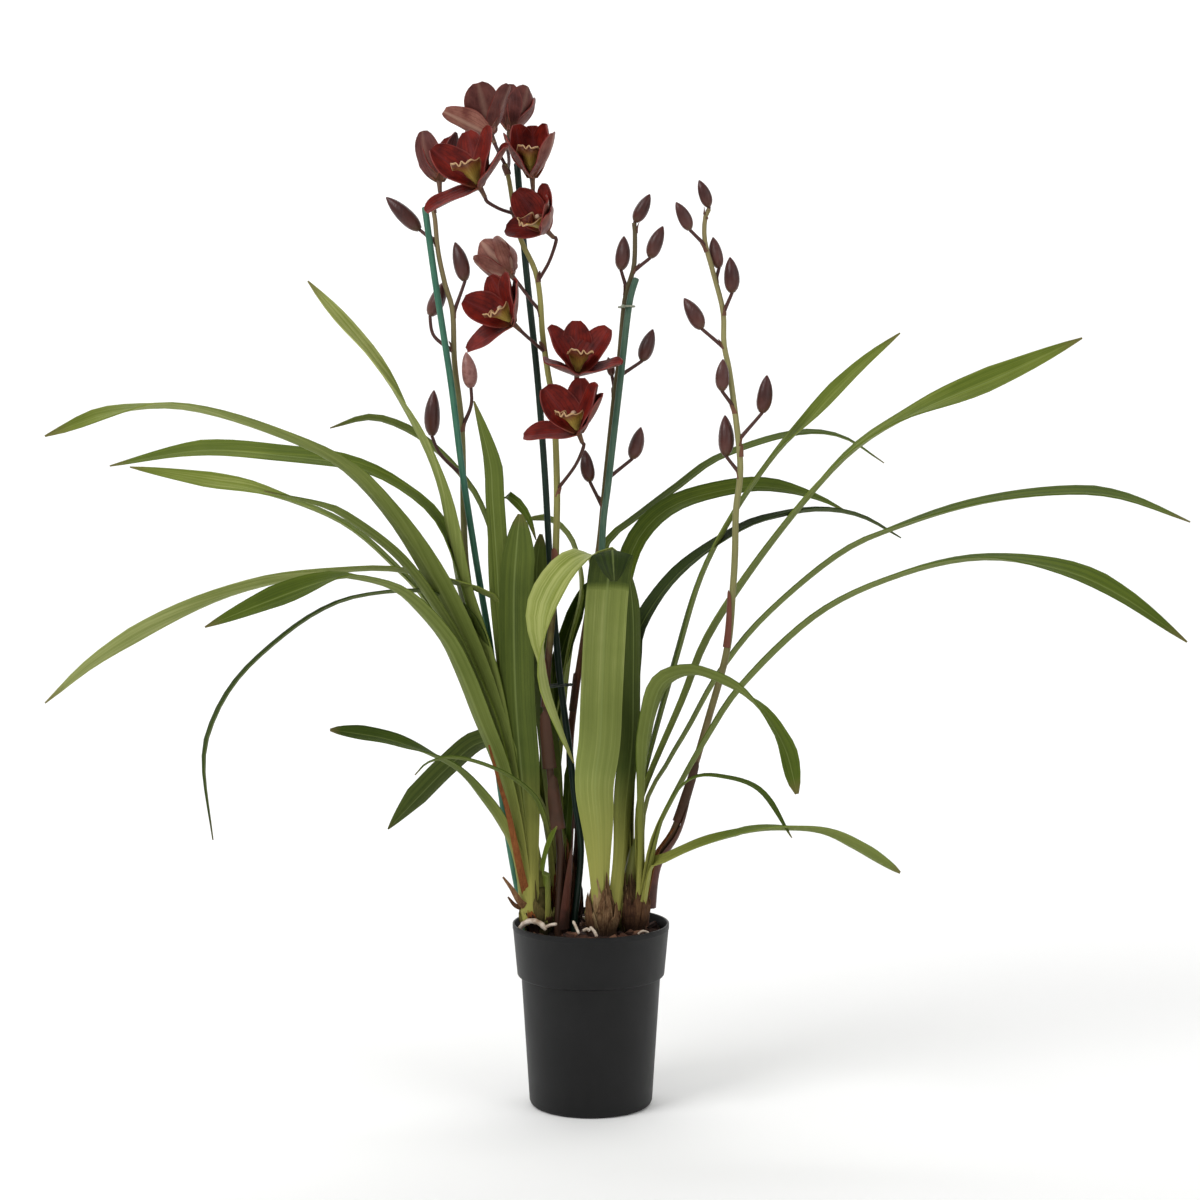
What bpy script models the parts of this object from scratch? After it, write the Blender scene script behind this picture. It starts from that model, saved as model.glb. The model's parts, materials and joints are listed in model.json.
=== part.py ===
# Potted cymbidium orchid: a nursery pot of bark mix, four sheathed bulbs with their leaves,
# three stakes with ties, four flower spikes and ten blooms.
# Metres, +Z up. The origin is the centre of the pot's underside, and -Y faces the viewer.

import math

import bmesh
import bpy
from mathutils import Matrix, Vector, noise
from mathutils.geometry import intersect_point_line

MM = 0.001
GAP = 0.35 * MM

# The front view that the routes are read off: where the eye is, how far it looks down, and how
# many steps of the view make a slope of one. A route's point is (across, down) in steps of the
# view, then its depth in millimetres behind the pot's axis.
EYE = Vector((0.007, -1.70, 0.4865))
EYE_PITCH = math.radians(3.34)
EYE_REACH = 2240.0
VIEW_MIDDLE = 600.0

POT_HEIGHT = 0.140
POT_RIM_RADIUS = 0.060
POT_COLLAR_LOW = 0.100
POT_COLLAR_RADIUS = 0.0564
POT_BODY_RADIUS = 0.0533
POT_FOOT_RADIUS = 0.0472
POT_EDGE = 0.0035
POT_WALL = 0.0016
POT_FLOOR = 0.0025
POT_LEDGE = 0.003
POT_LIP = 0.0006
DRAIN_RADIUS = 0.004
DRAIN_RING = 0.034
DRAIN_COUNT = 6
POT_STEPS = 24
DRAIN_SIDES = 8

MIX_TOP = 0.1315
MIX_CLEARANCE = 0.0008
MIX_RINGS = 6
BARK_RELIEF = 0.0030
BARK_SIZE = 0.009
HOLE_DEPTH = 0.020
HOLE_CLEARANCE = 0.0007
STAKE_HOLE_DEPTH = 0.012

BULB_TOP = 0.168
BULB_WIDEST = 0.016
BULB_SIDES = 8
BULB_FOOT_RADIUS = 0.0068
SOCKET_RADIUS = 0.0062
SOCKET_DEPTH = 0.012
SOCKET_CLEARANCE = 0.0006

LEAF_THICKNESS = 0.0009
SHEATH_THICKNESS = 0.0008
PETAL_THICKNESS = 0.0009
LEAF_SEGMENTS = 7
FLAT_LEAF_WIDTH = 0.0155
LEAF_SPLAY = 2.6
LEAF_SINK = 0.018
LEAF_FOLD = 0.34
SHEATH_STEPS = 3
SHEATH_LEAN = 0.004
DRY_BLADE_SEGMENTS = 5
DRY_BLADE_TURN = 60
STAKE_SEGMENTS = 10
STEM_SEGMENTS = 11

STAKE_RADIUS = 0.0025
STEM_RADIUS = 0.0026
STALK_RADIUS = 0.0010
STALK_SIDES = 5
BUD_RADIUS = 0.0062
BUD_SIDES = 5
TIE_RADIUS = 0.0008

BLOOM_REACH = 0.040
SEPAL_WIDTH = 0.023
PETAL_WIDTH = 0.027
PETAL_RISE = 0.0018
OVARY_LENGTH = 0.008
OVARY_RADIUS = 0.0021
LIP_FORWARD = 0.0046
COLUMN_REACH = 0.017
COLUMN_RADII = (0.0017, 0.0022, 0.0021)
TEPAL_STEPS = 3
TEPAL_CUP = 0.34
SHARP_ANGLE = math.radians(40)

# Where each bulb, stake and spike stands in the mix, in millimetres, and each bulb's radius.
BULBS = {
    "left": (-40, -6, 10.5),
    "middle": (-20, 8, 11.0),
    "front": (9, -14, 10.5),
    "right": (30, 0, 12.0),
}
FEET = {
    "stake_left": (-50.5, 5),
    "stake_middle": (-13, -6),
    "stake_right": (10, 12),
    "spike_1": (-40, 18),
    "spike_2": (-25, -13),
    "spike_3": (-18, 27),
    "spike_4": (42, 12),
}

# Each leaf: its route, its width in millimetres and its turn, in degrees, at even steps along it.
LEAVES = {
    "left": [
        ([(520, 800, -8), (495, 720, -10), (478, 672, -12), (458, 626, -14), (430, 572, -18),
          (390, 515, -22), (340, 466, -28), (260, 430, -36), (180, 409, -44), (110, 414, -50),
          (45, 436, -54)], 21, (25, 30, 36, 34, 16, 5, 0, -70)),
        ([(522, 810, -4), (500, 740, -4), (480, 660, -2), (465, 600, 0), (440, 527, 6),
          (400, 489, 10), (350, 466, 14), (280, 456, 18), (200, 451, 22), (110, 466, 26)],
         20, (10, 5, 5, 0, -8, -36, -38, -36)),
        ([(505, 770, -6), (480, 700, -6), (430, 610, -2), (396, 570, 4), (340, 523, 10),
          (260, 492, 16), (200, 480, 20), (130, 467, 24)],
         16, (12, 12, 10, 10, 5, 0, -45, -50)),
        ([(500, 750, -12), (470, 670, -16), (440, 615, -20), (400, 560, -24), (350, 521, -26),
          (320, 506, -26), (264, 491, -26)], 13, (20, 16, 18, 28, 25, 0)),
        ([(524, 760, -2), (510, 640, -2), (494, 601, -2), (460, 586, -4), (400, 572, -8),
          (346, 572, -12), (260, 585, -18), (180, 613, -24), (100, 658, -30), (45, 703, -34)],
         15, (0, 0, 0, 5, 10, 36, 58, 60)),
        ([(518, 840, -10), (500, 770, -14), (480, 720, -18), (460, 670, -24), (440, 634, -28),
          (400, 594, -34), (360, 580, -40), (330, 580, -42), (270, 601, -48), (205, 627, -52)],
         20, (20, 22, 22, 20, 14, 0, -42, -50)),
        ([(520, 800, -4), (495, 680, -6), (470, 617, -8), (450, 603, -10), (418, 592, -14),
          (360, 597, -20), (320, 612, -26), (280, 640, -32), (240, 678, -38), (215, 720, -42),
          (205, 765, -46), (213, 840, -50)], 12, (0, 0, 5, 5, 8, 10, 15)),
        ([(515, 800, -8), (495, 700, -8), (478, 640, -6), (462, 590, -4), (452, 540, -2),
          (440, 490, 0), (420, 440, 0), (382, 373, -4), (340, 319, -8), (308, 281, -12)],
         19, (30, 36, 38, 36, 28, 4, -30, -46)),
        ([(520, 750, -2), (507, 650, 8), (499, 570, 26), (492, 540, 34), (480, 507, 38),
          (467, 485, 38), (440, 455, 36), (408, 431, 32), (370, 418, 26), (330, 428, 20)],
         12, (0, 0, 25, 25, 30, 36, 40)),
        ([(525, 820, -3), (510, 720, -4), (500, 610, -6), (497, 560, -8), (493, 500, -12),
          (490, 460, -14), (474, 401, -18)], 17, (30, 38, 38, 30)),
        ([(525, 830, 0), (508, 700, -2), (497, 600, -3), (495, 530, -4), (501, 497, -4),
          (515, 501, -6), (528, 517, -8), (536, 540, -10)], 10, (0, 20, 0, 20)),
        ([(524, 800, -10), (516, 700, -14), (514, 600, -18), (517, 545, -22), (520, 514, -22)],
         27, (0, 10, 10, 0)),
        ([(517, 855, -12), (500, 822, -16), (480, 795, -20), (460, 773, -22), (440, 760, -24),
          (410, 747, -28), (380, 738, -32), (330, 730, -36)], 15, (25, 25, 20, 5, -35, -45)),
        ([(545, 862, -18), (557, 826, -24)], 10, (60, 60)),
    ],
    "middle": [
        ([(553, 800, 11), (543, 700, 12), (538, 620, 12), (537, 570, 12), (541, 534, 12)],
         17, (60, 80, 80, 80)),
        ([(548, 830, 18), (530, 790, 30), (507, 750, 36), (480, 742, 38), (450, 765, 38),
          (420, 795, 36), (388, 829, 34)], 20, (0, 35, 50, 45)),
        ([(550, 846, 3), (542, 815, -16), (530, 793, -30), (500, 772, -37), (460, 759, -38),
          (430, 762, -38), (415, 775, -38)], 7, (0, 0, 10, 20)),
        ([(566, 840, 12), (569, 790, 13), (570, 756, 14)], 8, (20, 40)),
        ([(552, 800, 21), (557, 720, 33), (568, 645, 37), (580, 590, 39), (572, 545, 40),
          (550, 520, 40), (525, 519, 40)], 15, (0, 10, 40, 60)),
        ([(549, 800, 24), (553, 690, 36), (562, 650, 40), (572, 620, 44), (583, 592, 46),
          (596, 577, 46)], 14, (0, 20, 60, 60)),
    ],
    "front": [
        ([(598, 830, -20), (595, 785, -24), (600, 740, -28), (602, 690, -31), (605, 620, -36),
          (608, 580, -44), (612, 551, -56), (613, 562, -67), (614, 581, -73)], 32, (0, 0, 0)),
        ([(618, 835, -13), (625, 800, -15), (631, 740, -16), (633, 690, -17), (633, 620, -19),
          (629, 574, -24)], 20, (-10, -10, -10)),
        ([(598, 800, -12), (600, 720, -13), (602, 650, -15), (606, 595, -18), (606, 567, -25),
          (597, 556, -34), (580, 560, -43), (561, 578, -51), (546, 607, -56), (543, 640, -58),
          (546, 672, -58), (554, 705, -58), (574, 763, -58)], 30, (0, 0, 0, 0, 0, 12, 70, 70)),
    ],
    "right": [
        ([(626, 800, 8), (615, 700, 22), (607, 620, 32), (602, 570, 34), (610, 541, 36),
          (640, 517, 40), (680, 487, 46), (720, 459, 50), (790, 436, 58), (840, 437, 62),
          (884, 463, 64)], 13, (8, 5, 0, 0, 5, 12, 25)),
        ([(627, 800, 6), (619, 700, 16), (618, 640, 22), (627, 570, 26), (645, 530, 30),
          (680, 503, 34), (740, 488, 38), (780, 489, 40), (820, 500, 42), (850, 514, 42)],
         18, (0, 5, 15, 30, 38, 36, 30)),
        ([(631, 800, 4), (632, 720, 8), (636, 660, 12), (642, 625, 14), (680, 573, 18),
          (740, 531, 22), (780, 517, 22), (820, 511, 20), (860, 517, 16), (901, 538, 12)],
         18, (10, 28, 38, 36, 22, 10, 0, 0)),
        ([(638, 820, 0), (646, 776, 4), (658, 730, 8), (678, 660, 12), (703, 577, 16),
          (735, 515, 20), (775, 457, 18), (810, 420, 12), (860, 368, 2), (900, 333, -6)],
         19, (5, 5, 5, 5, 0, 0, 34, 44)),
        ([(641, 815, -2), (650, 780, 2), (685, 700, 10), (711, 637, 18), (760, 562, 20),
          (815, 492, 10), (860, 447, 0), (920, 411, -12), (1000, 377, -28), (1082, 338, -40)],
         21, (5, 5, 5, 5, 8, 20, 60, 76)),
        ([(646, 810, -2), (668, 765, 4), (690, 728, 12), (722, 672, 18), (767, 617, 14),
          (840, 556, 0), (900, 528, -8), (980, 504, -16), (1060, 494, -24), (1120, 498, -30),
          (1190, 522, -36)], 18, (8, 8, 6, 3, 0, 15, 20, 22)),
        ([(650, 850, -10), (668, 810, -14), (710, 736, -18), (746, 684, -20), (820, 615, -26),
          (900, 577, -32), (980, 560, -38), (1060, 570, -43), (1120, 596, -46),
          (1187, 642, -48)], 20, (12, 10, 8, 5, 3, 5, 30, 40)),
        ([(642, 830, -12), (645, 760, -24), (650, 720, -32), (662, 684, -42), (690, 673, -52),
          (720, 682, -58), (745, 696, -62), (765, 716, -64), (785, 750, -66), (797, 794, -66)],
         18, (25, 28, 20, 0, -25, -40, -5, 50)),
        ([(656, 840, -14), (672, 800, -22), (692, 779, -26), (720, 777, -30), (760, 791, -34),
          (792, 838, -34)], 6, (0, 10, 20)),
        ([(648, 867, -10), (665, 858, -16), (700, 844, -22), (740, 834, -26), (780, 830, -30),
          (830, 836, -34), (900, 873, -36)], 17, (35, 30, 20, 8, -10, -40, -45)),
    ],
}

# Where the foot of the leaves stands clear of the bulb: heights above its top, with radii.
CORE_FOOT = ((0.0006, 0.0066), (0.006, 0.0068))
# The green core that each bulb's leaves rise from, above the foot: a route, and at each of its
# points the radius in millimetres.
CORES = {
    "left": ([(534, 845, -6), (526, 800, -8), (512, 745, -8), (498, 700, -8)],
             (6.6, 5.6, 4.2, 1.2)),
    "middle": ([(563, 842, 9), (558, 800, 12)], (5.2, 1.5)),
    "front": ([(603, 842, -15), (604, 800, -18)], (5.2, 1.5)),
    "right": ([(634, 852, -1), (638, 825, 0), (642, 795, 2)], (6.4, 4.8, 1.2)),
}

# Dry sheaths on each bulb: which way round they stand, in degrees from the right, and how far
# they rise above the bulb's top, in millimetres.
SHEATHS = {
    "left": ((250, 16), (80, 12)),
    "middle": ((275, 36), (110, 14)),
    "front": ((230, 14), (290, 18)),
    "right": ((265, 14), (95, 14)),
}
# Longer dry blades that stand up beside the leaves, as routes with a width in millimetres.
DRY_BLADES = {
    "left": ([(520, 868, -19), (508, 812, -25), (500, 785, -28), (489, 745, -30)], 6),
    "right": ([(655, 858, 1), (664, 842, 1), (674, 828, 1)], 5),
}

STAKES = {
    "stake_left": [(512, 860, 10), (497, 760, 14), (493, 668, 14), (476, 560, 14), (462, 469, 14),
                   (451, 383, 14), (435.5, 283, 14), (425, 208, 14)],
    "stake_middle": [(581, 850, -4), (575, 800, 0), (570, 754, 4), (563, 702, 6), (558, 660, 6),
                     (550, 563, 6), (544.5, 469, 6), (537, 373, 6), (526, 268, 6), (517, 164, 6)],
    "stake_right": [(604, 860, 12), (603, 700, 12), (602, 548, 12), (609, 478, 12),
                    (619, 392, 12), (629, 306, 12), (636, 279, 11)],
}

SPIKES = {
    "spike_1": [(533, 870, 19), (512, 790, 22), (498, 720, 24), (482, 660, 24), (468, 580, 24),
                (464, 530, 24), (462, 430, 24), (454.6, 363, 22), (452.7, 312, 20),
                (445, 284, 18), (438, 251, 16), (434.7, 217, 14), (431, 203, 13)],
    "spike_2": [(560, 850, -13), (552, 790, -12), (547, 730, -11), (547, 680, -9), (551, 630, -7),
                (555, 580, -5), (556, 543, -5), (557, 488, -5), (554, 411, -5), (548, 373, -5),
                (542.6, 335, -5), (540, 297, -5), (535, 270, -5), (521, 240, -5), (514, 210, -4),
                (509, 180, -3), (505, 164, -2)],
    "spike_3": [(569, 860, 27), (571, 800, 25), (570, 745, 24), (576, 690, 24), (582, 650, 23),
                (590, 600, 22), (599, 548, 21), (606, 478, 19), (615, 392, 19), (619, 363, 19),
                (624, 306, 19), (628, 287, 18), (634, 266, 15), (635, 235, 13), (634, 223, 13)],
    "spike_4": [(652, 866, 11), (674, 830, 8), (688, 788, 6), (708, 720, 4), (727, 650, 3),
                (733, 587, 3), (735, 553, 3), (736, 510, 3), (740, 478, 3), (739, 446, 3),
                (730, 375, 3), (724, 344, 3), (723, 311, 3), (713, 272, 3), (705, 242, 3),
                (705, 219, 3), (709, 209, 3)],
}

# Closed buds: the tip, the bud's base, and the places of its stalk down to the stem.
BUDS = {
    "spike_1": [
        [(386, 197, 23), (420, 230, 24), (437, 244, 16)],
        [(455, 242, 26), (465, 281, 24), (453, 315, 20)],
        [(445, 281, 26), (430, 316, 26), (434, 336, 25), (454, 352, 21.5)],
        [(466, 352, 14), (471, 388, 16), (471, 406, 19), (462, 428, 24)],
        [(434, 390, 27), (432, 436, 27), (441, 455, 28), (462, 476, 24)],
    ],
    "spike_3": [
        [(650, 194, 11), (635, 222, 13), (634, 226, 13)],
        [(663, 226, 8), (650, 258, 11), (634, 272, 15.5)],
        [(624, 236, 24), (621, 270, 22), (627, 290, 18)],
        [(653, 329, 24), (642, 361, 24), (618, 378, 19)],
        [(608, 357, 26), (612, 376, 24), (615, 392, 19)],
        [(641, 427, 24), (632, 459, 24), (606, 480, 19)],
        [(585, 450, 26), (590, 482, 24), (603, 508, 20)],
    ],
    "spike_4": [
        [(699, 180, 1), (709, 207, 3), (709, 211, 3)],
        [(676, 202, -4), (690, 230, -1), (705, 246, 3)],
        [(713, 237, 10), (719, 268, 8), (715, 281, 3)],
        [(730, 257, -4), (732, 293, -2), (723, 313, 3)],
        [(684, 298, 8), (702, 329, 6), (725, 348, 3)],
        [(723, 359, -6), (722, 391, -4), (734, 408, 3)],
        [(767, 375, -2), (762, 413, 0), (740, 440, 3)],
        [(725, 415, 10), (726, 456, 8), (740, 474, 3)],
    ],
}

# A bud's body: shares of the way from its tip to its base, with shares of its full radius.
BUD_SHAPE = ((0.0, 0.2), (0.24, 0.84), (0.66, 1.0), (1.0, 0.34))
BUD_SLIMNESS = 0.22

# Blooms: the seat of the ovary, the way it faces, how its tepals open, its size and its turn in
# degrees, and the places of its stalk from the stem up to the seat, with the stem's name.
BLOOMS = {
    "bloom_1": ((485, 197, -26), (-20, -24, 38), "hooded", 1.12, 26,
                "spike_2", [(513, 214, -5), (500, 209, -18)]),
    "bloom_2": ((533, 189, -4), (-2, -14, 38), "cup", 1.02, 0,
                "spike_2", [(519, 232, -5), (531, 208, -5)]),
    "bloom_3": ((495, 144, -2), (-16, 14, 38), "flared", 1.00, 22,
                "spike_2", [(505, 164, -5), (500, 155, -5)]),
    "bloom_4": ((508, 140, 38), (6, 16, 38), "closed", 0.95, 0,
                "spike_2", [(507, 172, -2), (509, 161, 18)]),
    "bloom_5": ((553, 237, -19), (-24, -30, 22), "spread", 0.90, -20,
                "spike_2", [(539, 281, -5), (549, 262, -14)]),
    "bloom_6": ((517, 282, 6), (-20, 20, 24), "closed", 0.92, 0,
                "spike_2", [(541, 312, -5), (530, 299, -1)]),
    "bloom_7": ((520, 330, -18), (-26, -26, 24), "spread", 1.00, 28,
                "spike_2", [(544, 352, -5), (532, 341, -14)]),
    "bloom_8": ((576, 385, -7), (4, -22, 36), "goblet", 1.04, 0,
                "spike_2", [(552, 402, -5), (562, 396, -7)]),
    "bloom_9": ((582, 442, -24), (-12, -24, 34), "spread", 1.04, 0,
                "spike_2", [(557, 490, -5), (575, 466, -17)]),
    "bloom_10": ((440, 192, 14), (-3, 8, 38), "closed", 1.04, 180,
                 "spike_1", [(431, 203, 13), (433, 201, 13)]),
}

# The tepals of each shape of bloom, from the dorsal sepal by two petals to two lateral sepals:
# degrees round the bloom's axis from the top, then the lean from the axis at the root and tip.
OPENING = {
    "hooded": ((0, 52, 34), (62, 48, 30), (-62, 48, 30), (100, 58, 52), (-122, 78, 86)),
    "spread": ((0, 52, 34), (60, 46, 28), (-62, 48, 32), (80, 54, 30), (-110, 74, 84)),
    "goblet": ((0, 46, 26), (62, 44, 34), (-62, 44, 34), (126, 62, 54), (-126, 62, 54)),
    "flared": ((0, 46, 44), (64, 48, 50), (-61, 45, 47), (127, 56, 54), (-125, 53, 50)),
    "closed": ((0, 58, -12), (62, 54, -14), (-62, 54, -14), (126, 56, -6), (-126, 56, -6)),
    "cup": ((0, 48, -4), (54, 44, -2), (-54, 44, -2), (104, 50, 8), (-104, 50, 8)),
}
PETALS = (1, 2)

# Along a lip: forward, drop of its floor, half width and rise of its sides, in millimetres.
LIP_STATIONS = (
    (0.0, 1.7, 1.4, 0.6),
    (9.0, 4.6, 8.2, 8.4),
    (17.0, 6.8, 9.8, 4.0),
    (22.5, 10.5, 7.0, 0.4),
)
LIP_SPREAD = (-1.0, -0.55, 0.0, 0.55, 1.0)
CLOSED_LIP_REACH = 0.8

TIES = {
    "tie_left": ("stake_left", "spike_1", 0.332),
    "tie_middle": ("stake_middle", "spike_2", 0.322),
    "tie_right": ("stake_right", "spike_3", 0.610),
}

FINISHES = {
    "pot": ((0.018, 0.018, 0.019), 0.55),
    "potting_mix": ((0.075, 0.035, 0.022), 0.95),
    "sheath": ((0.16, 0.085, 0.045), 0.85),
    "leaf": ((0.12, 0.17, 0.035), 0.42),
    "stake_teal": ((0.03, 0.17, 0.12), 0.45),
    "stake_dark": ((0.008, 0.020, 0.012), 0.50),
    "tie": ((0.45, 0.36, 0.22), 0.60),
    "spike": ((0.13, 0.12, 0.045), 0.50),
    "bloom": ((0.13, 0.012, 0.014), 0.50),
    "lip": ((0.33, 0.17, 0.05), 0.45),
}


def clear_scene():
    for old in list(bpy.data.objects):
        bpy.data.objects.remove(old, do_unlink=True)


def new_collection(name):
    made = bpy.data.collections.new(name)
    bpy.context.scene.collection.children.link(made)
    return made


def new_finish(name):
    colour, roughness = FINISHES[name]
    made = bpy.data.materials.new(name)
    made.use_nodes = True
    shader = made.node_tree.nodes["Principled BSDF"]
    shader.inputs["Base Color"].default_value = (*colour, 1.0)
    shader.inputs["Roughness"].default_value = roughness
    shader.inputs["Metallic"].default_value = 0.0
    return made


def sighted(across, down, depth):
    """The place that shows at (across, down) in the front view, this many mm behind the axis."""
    right = across - VIEW_MIDDLE
    up = VIEW_MIDDLE - down
    ahead = EYE_REACH * math.cos(EYE_PITCH) + up * math.sin(EYE_PITCH)
    rise = up * math.cos(EYE_PITCH) - EYE_REACH * math.sin(EYE_PITCH)
    scale = (depth * MM - EYE.y) / ahead
    return Vector((EYE.x + right * scale, depth * MM, EYE.z + rise * scale))


def sighted_route(route):
    return [sighted(*point) for point in route]


def splayed(across, down, depth):
    """A leaf's point, whose depth grows with its reach to either side of the pot."""
    reach = abs(across - VIEW_MIDDLE) / VIEW_MIDDLE
    return sighted(across, down, depth * (1.0 + LEAF_SPLAY * reach**1.5))


def flow(points, segments):
    """Evenly spaced places on a smooth curve through the points."""
    ends = [points[0] * 2 - points[1], *points, points[-1] * 2 - points[-2]]
    fine = []
    per_span = 12
    for i in range(1, len(ends) - 2):
        p0, p1, p2, p3 = ends[i - 1 : i + 3]
        for k in range(per_span):
            t = k / per_span
            fine.append(
                (p1 * 2 + (p2 - p0) * t + (p0 * 2 - p1 * 5 + p2 * 4 - p3) * t**2
                 + (p1 * 3 - p0 - p2 * 3 + p3) * t**3) / 2
            )
    fine.append(points[-1].copy())
    lengths = [0.0]
    for a, b in zip(fine, fine[1:]):
        lengths.append(lengths[-1] + (b - a).length)
    spaced = []
    j = 0
    for i in range(segments + 1):
        wanted = lengths[-1] * i / segments
        while j < len(fine) - 2 and lengths[j + 1] < wanted:
            j += 1
        span = max(lengths[j + 1] - lengths[j], 1e-9)
        spaced.append(fine[j].lerp(fine[j + 1], (wanted - lengths[j]) / span))
    return spaced


def along(values, t):
    """The value at t, from 0 to 1, between values that stand at even steps."""
    place = t * (len(values) - 1)
    low = min(int(place), len(values) - 2)
    return values[low] + (values[low + 1] - values[low]) * (place - low)


def settled(obj):
    """The object as a plain mesh object, with its modifiers or its bevel worked in."""
    bpy.context.view_layer.update()
    graph = bpy.context.evaluated_depsgraph_get()
    mesh = bpy.data.meshes.new_from_object(obj.evaluated_get(graph))
    shape = bmesh.new()
    shape.from_mesh(mesh)
    bmesh.ops.remove_doubles(shape, verts=shape.verts, dist=1e-6)
    bmesh.ops.recalc_face_normals(shape, faces=shape.faces)
    shape.to_mesh(mesh)
    shape.free()
    plain = bpy.data.objects.new(obj.name + ".plain", mesh)
    plain.matrix_world = obj.matrix_world.copy()
    bpy.context.scene.collection.objects.link(plain)
    bpy.data.objects.remove(obj, do_unlink=True)
    return plain


def sheet(rows, thickness):
    """A thin blade through rows of places, in like triangles on both faces."""
    shape = bmesh.new()
    grid = [[shape.verts.new(place) for place in row] for row in rows]
    for near, far in zip(grid, grid[1:]):
        for i in range(len(near) - 1):
            shape.faces.new((near[i], near[i + 1], far[i + 1]))
            shape.faces.new((near[i], far[i + 1], far[i]))
    mesh = bpy.data.meshes.new("sheet")
    shape.to_mesh(mesh)
    shape.free()
    made = bpy.data.objects.new("sheet", mesh)
    bpy.context.scene.collection.objects.link(made)
    shell = made.modifiers.new("thickness", "SOLIDIFY")
    shell.thickness = thickness
    shell.offset = 0.0
    return settled(made)


def tube(places, radii, sides=6):
    """A round rod through the places, with flat ends."""
    curve = bpy.data.curves.new("tube", "CURVE")
    curve.dimensions = "3D"
    curve.bevel_depth = 1.0
    curve.bevel_resolution = (sides - 4) // 2
    curve.use_fill_caps = True
    line = curve.splines.new("POLY")
    line.points.add(len(places) - 1)
    for point, place, radius in zip(line.points, places, radii):
        point.co = (*place, 1.0)
        point.radius = radius
    made = bpy.data.objects.new("tube", curve)
    bpy.context.scene.collection.objects.link(made)
    return settled(made)


def turned(profile, steps):
    """A solid turned round Z from (radius, height) places, down its outer side."""
    mesh = bpy.data.meshes.new("turned")
    edges = [(i, i + 1) for i in range(len(profile) - 1)]
    mesh.from_pydata([(radius, 0.0, height) for radius, height in profile], edges, [])
    made = bpy.data.objects.new("turned", mesh)
    bpy.context.scene.collection.objects.link(made)
    screw = made.modifiers.new("turn", "SCREW")
    screw.steps = steps
    screw.render_steps = steps
    screw.use_merge_vertices = True
    screw.merge_threshold = 1e-5
    return made


def whole_body(mesh):
    """Keeps the mesh's largest closed body: sealed hollows are filled and loose scraps dropped."""
    shape = bmesh.new()
    shape.from_mesh(mesh)
    left = set(shape.faces)
    islands = []
    while left:
        island = {left.pop()}
        edge = list(island)
        while edge:
            for side in edge.pop().edges:
                for face in side.link_faces:
                    if face in left:
                        left.discard(face)
                        island.add(face)
                        edge.append(face)
        islands.append(island)
    largest = max(islands, key=lambda island: sum(face.calc_area() for face in island))
    for island in islands:
        if island is not largest:
            bmesh.ops.delete(shape, geom=list(island), context="FACES")
    shape.to_mesh(mesh)
    shape.free()


def fuse(name, pieces, finish, parts):
    """One object of this name: the union of the pieces."""
    first, others = pieces[0], pieces[1:]
    if others:
        joining = new_collection("joining")
        for piece in others:
            joining.objects.link(piece)
        join = first.modifiers.new("join", "BOOLEAN")
        join.operation = "UNION"
        join.operand_type = "COLLECTION"
        join.collection = joining
        join.solver = "MANIFOLD"
        bpy.context.view_layer.update()
        graph = bpy.context.evaluated_depsgraph_get()
        mesh = bpy.data.meshes.new_from_object(first.evaluated_get(graph))
        mesh.transform(first.matrix_world)
        for piece in pieces:
            bpy.data.objects.remove(piece, do_unlink=True)
        bpy.data.collections.remove(joining)
    else:
        mesh = first.data.copy()
        mesh.transform(first.matrix_world)
        bpy.data.objects.remove(first, do_unlink=True)
    whole_body(mesh)
    mesh.shade_smooth()
    mesh.set_sharp_from_angle(angle=SHARP_ANGLE)
    mesh.name = name
    mesh.materials.clear()
    mesh.materials.append(finish)
    made = bpy.data.objects.new(name, mesh)
    parts.objects.link(made)
    return made


def leaf_breadth(t):
    """A strap leaf's share of its full width: narrow at the root, pointed at the tip."""
    return max(0.06, min(1.0, 0.48 + 1.5 * t) * min(1.0, (1.0 - t) / 0.13) ** 0.75)


def strap(places, width, turns, thickness, fold, breadth=leaf_breadth):
    """A blade along the places, level across its lean and then turned along the way. A fold
    of nought leaves it flat."""
    lean = places[-1] - places[0]
    across = Vector((lean.y, -lean.x, 0.0)).normalized()
    rows = []
    for i, place in enumerate(places):
        t = i / (len(places) - 1)
        heading = (places[min(i + 1, len(places) - 1)] - places[max(i - 1, 0)]).normalized()
        side = (across - heading * across.dot(heading)).normalized()
        side = Matrix.Rotation(math.radians(along(turns, t)), 3, heading) @ side
        upper = side.cross(heading).normalized()
        half = width * breadth(t) / 2
        rise = upper * (half * fold)
        middle = (place,) if fold else ()
        rows.append((place - side * half + rise, *middle, place + side * half + rise))
    return sheet(rows, thickness)


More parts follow.
